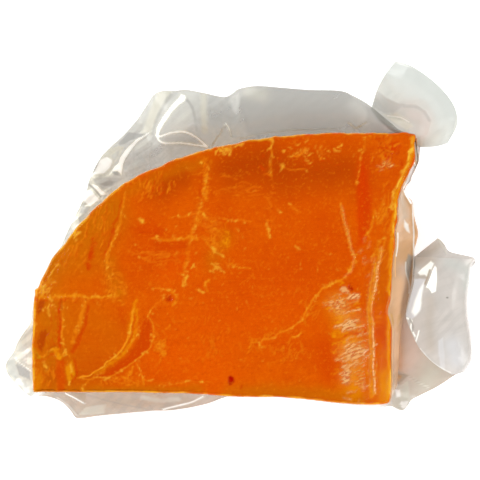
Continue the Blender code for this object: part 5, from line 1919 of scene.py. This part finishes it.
@dataclass(frozen=True)
class CheeseFinish:
    """Dense, slightly waxy pressed cheese, finely grained where the wire and the knife dragged over it."""

    grain: float = 0.9 * MM
    drag: float = 1.1 * MM
    drag_stretch: Stretch = (4.5, 0.55, 1.0)
    drag_turn: float = 4.0
    hair: float = 0.8 * MM
    hair_stretch: Stretch = (2.2, 0.6, 1.0)
    hair_turn: float = 52.0
    pit: float = 0.5 * MM
    relief: float = 0.12 * MM
    relief_strength: float = 0.7
    # Paler colour of the flecks, partly painted highlight on the raised grain, and deeper colour of the
    # bump's hollows, painted shade
    bright: Colour = (0.84, 0.25, 0.006)
    deep: Colour = (0.60, 0.058, 0.0004)
    tint_strength: float = 0.34
    roughness: float = 0.36
    fleck_roughness: float = 0.18
    specular: float = 0.01

    def make(self) -> bpy.types.Material:
        """Makes the material."""
        bench = Bench(bpy.data.materials.new("mimolette"))
        paint = bench.attribute("paint", "Color")
        here = bench.place()
        grain = bench.noise(here, self.grain, 5)
        drag = bench.noise(bench.place(self.drag_stretch, self.drag_turn), self.drag, 4)
        hairs = bench.noise(bench.place(self.hair_stretch, self.hair_turn), self.hair, 3)
        # Paler flecks, partly the grain's own colour and partly painted highlight; deeper colour in the
        # bump's hollows, painted shade
        flecks = bench.ramp(grain * 0.55 + drag * 0.15 + hairs * 0.3, 0.53, 0.66)
        shaded_hollows = bench.ramp(grain * 0.65 + drag * 0.35, 0.47, 0.34)
        colour = bench.blend(flecks * self.tint_strength, paint, self.bright)
        colour = bench.blend(shaded_hollows * self.tint_strength, colour, self.deep)
        pits = bench.ramp(bench.noise(here, self.pit, 2), 0.3, 0.7)
        height = grain * 0.5 + drag * 0.3 + pits * 0.2
        sockets = {
            "Base Color": colour,
            "Roughness": self.roughness + self.fleck_roughness * flecks,
            "Specular IOR Level": self.specular,
            "Normal": bench.bump(height, self.relief, self.relief_strength),
        }
        return bench.close(bench.signal("ShaderNodeBsdfPrincipled", {}, sockets))


@dataclass(frozen=True)
class FilmFinish:
    """Clear vacuum film: it mirrors at a slant, and is milky where it is creased or lies double.

    Its painted highlights and painted shade come in with its paint and milk. Its wrinkles run at a turn in
    degrees, its palest parts, the painted highlights, glow, and a break-up cuts its milk into streaks.
    """

    name: str
    head_on: float = 0.045
    roughness: float = 0.1
    turn: float = 24.0
    wrinkle: float = 1.6 * MM
    wrinkle_stretch: Stretch = (1.0, 0.6, 1.0)
    wrinkle_depth: float = 0.05 * MM
    wrinkle_strength: float = 0.8
    glow: float = 0.3
    glow_from: float = 0.86
    glow_to: float = 0.98
    break_up: float = 0.0
    streak: float = 0.75 * MM
    streak_stretch: Stretch = (1.9, 0.7, 1.0)

    def make(self) -> bpy.types.Material:
        """Makes the material: what isn't milk or mirror lets the light through."""
        bench = Bench(bpy.data.materials.new(self.name))
        paint = bench.attribute("paint", "Color")
        milk = bench.attribute("milk", "Fac")
        if self.break_up:
            streaks = bench.noise(bench.place(self.streak_stretch, self.turn), self.streak, 3)
            milk = milk * (1 - self.break_up * bench.ramp(streaks, 0.53, 0.4))
        wrinkles = bench.noise(bench.place(self.wrinkle_stretch, self.turn), self.wrinkle, 3)
        normal = bench.bump(wrinkles, self.wrinkle_depth, self.wrinkle_strength)
        slant = bench.signal("ShaderNodeLayerWeight", {}, {"Blend": 0.5, "Normal": normal}, "Facing")
        mirror = self.head_on + (1 - self.head_on) * slant.power(5)
        clear_mirror = (1 - milk) * mirror
        cover = milk + clear_mirror
        metal = clear_mirror / cover
        # The palest painted highlights give off light, so that they come out pure white
        pale = bench.ramp(paint, self.glow_from, self.glow_to)
        sockets = {
            "Base Color": bench.blend(metal, paint, (1, 1, 1)),
            "Metallic": metal,
            "Roughness": self.roughness,
            "Normal": normal,
            "Emission Color": bench.blend(pale, (0, 0, 0), (1, 1, 1)),
            "Emission Strength": self.glow,
        }
        body = bench.signal("ShaderNodeBsdfPrincipled", {}, sockets)
        clear = bench.signal("ShaderNodeBsdfTransparent", {}, {"Color": (1, 1, 1, 1)})
        return bench.close(bench.signal("ShaderNodeMixShader", {}, {0: cover, 1: clear, 2: body}))


@dataclass(frozen=True)
class Lamp:
    """A soft box beside the table: where it stands, its size, its power and its colour."""

    name: str
    azimuth: float
    elevation: float
    distance: float
    size: float
    power: float
    colour: Colour = (1, 1, 1)

    def set_up(self, aim: Vector) -> None:
        """Stands the lamp and turns it to the slice."""
        turn, tilt = math.radians(self.azimuth), math.radians(self.elevation)
        away = Vector((math.cos(turn) * math.cos(tilt), math.sin(turn) * math.cos(tilt), math.sin(tilt)))
        bpy.ops.object.light_add(type="AREA", location=aim + self.distance * away)
        lamp = bpy.context.object
        lamp.name = self.name
        lamp.rotation_euler = away.to_track_quat("Z", "Y").to_euler()
        lamp.data.shape = "SQUARE"
        lamp.data.size = self.size
        lamp.data.energy = self.power
        lamp.data.color = self.colour
        lamp.visible_camera = False


@dataclass(frozen=True)
class Studio:
    """A pale table in a room with bright walls and a dark ceiling, and soft boxes to the sides."""

    lamps: tuple[Lamp, ...] = (
        Lamp("left_box", 150, 38, 1.1, 0.95, 7.9),
        Lamp("right_box", -35, 35, 1.1, 0.8, 5.5, (1.0, 0.98, 0.95)),
    )
    wall_light: float = 0.95
    ceiling_light: float = 0.02
    ceiling_from: float = 0.72
    ceiling_to: float = 0.86
    floor_size: float = 4.0
    floor_drop: float = 0.05 * MM
    floor_colour: Colour = (0.84, 0.84, 0.835)
    floor_glow: float = 0.6
    aim_height: float = 20 * MM

    def set_up(self) -> None:
        """Builds the floor, the lamps, the world and the view's colour handling."""
        self.lay_floor()
        for lamp in self.lamps:
            lamp.set_up(Vector((0, 0, self.aim_height)))
        self.light_room()
        bpy.context.scene.view_settings.view_transform = "Standard"

    def lay_floor(self) -> None:
        """Lays the pale floor just under the slice."""
        bpy.ops.mesh.primitive_plane_add(size=self.floor_size, location=(0, 0, -self.floor_drop))
        floor = bpy.context.object
        floor.name = "pale_floor"
        bench = Bench(bpy.data.materials.new("pale floor"))
        sockets = {
            "Base Color": bench.opaque(self.floor_colour),
            "Roughness": 0.8,
            "Specular IOR Level": 0.1,
            "Emission Color": (1, 1, 1, 1),
            "Emission Strength": self.floor_glow,
        }
        floor.data.materials.append(bench.close(bench.signal("ShaderNodeBsdfPrincipled", {}, sockets)))

    def light_room(self) -> None:
        """Lights the room: bright at the walls and dark overhead, so the flat face mirrors no light."""
        bench = Bench(bpy.data.worlds.new("studio"))
        direction = bench.signal("ShaderNodeTexCoord", {}, {}, "Generated")
        upward = bench.signal("ShaderNodeSeparateXYZ", {}, {"Vector": direction}, "Z")
        sockets = {
            "Value": upward,
            "From Min": self.ceiling_from,
            "From Max": self.ceiling_to,
            "To Min": self.wall_light,
            "To Max": self.ceiling_light,
        }
        light = bench.signal("ShaderNodeMapRange", {"interpolation_type": "SMOOTHSTEP"}, sockets)
        room = bench.signal("ShaderNodeBackground", {}, {"Strength": light})
        bpy.context.scene.world = bench.close(room, "ShaderNodeOutputWorld")


def hand_over(piece: bpy.types.Object, slot: str, *nodes: str) -> None:
    """Sets a finished piece on the frame, as what stands for some of its solids.

    Args:
        piece: The finished piece.
        slot: The record's material slot; it is not used.
        nodes: The solids that it replaces.
    """
    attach(piece, BODY)
    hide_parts(*nodes)
    log.info("%s: %d triangles", piece.name, sum(len(face.vertices) - 2 for face in piece.data.polygons))


def main() -> None:
    """Builds the slice, its pouch and the studio."""
    logging.basicConfig(level=logging.INFO, format="%(name)s: %(message)s")
    form = SliceForm()
    PHOTO.take()
    Studio().set_up()
    hand_over(CheeseSlice(form).build(), CHEESE_SLOT, "cheese_slice")
    films = (
        ClingingFilm(form),
        CrumpledMargin(form),
        LoftedFilm("bridging_film", bridge_rows(form), Kind.PEACH, 0.62, BRIDGE_MARKS, (480, 70), 0.1 * MM),
        LoftedFilm("curled_corner", sheet_rows(CURL_ROWS), Kind.ICE, 0.62, CURL_MARKS, (180, 220), 0.12 * MM),
        LoftedFilm("rolled_back", sheet_rows(BACK_ROWS), Kind.SILK, 0.6, BACK_MARKS, (200, 60), 0.12 * MM),
        LoftedFilm("rolled_corner", roll_rows(), Kind.SILK, 0.6, ROLL_MARKS, (220, 200), 0.12 * MM),
    )
    for film in films:
        hand_over(film.build(), FILM_SLOT, "vacuum_pouch")


if __name__ == "__main__":
    main()
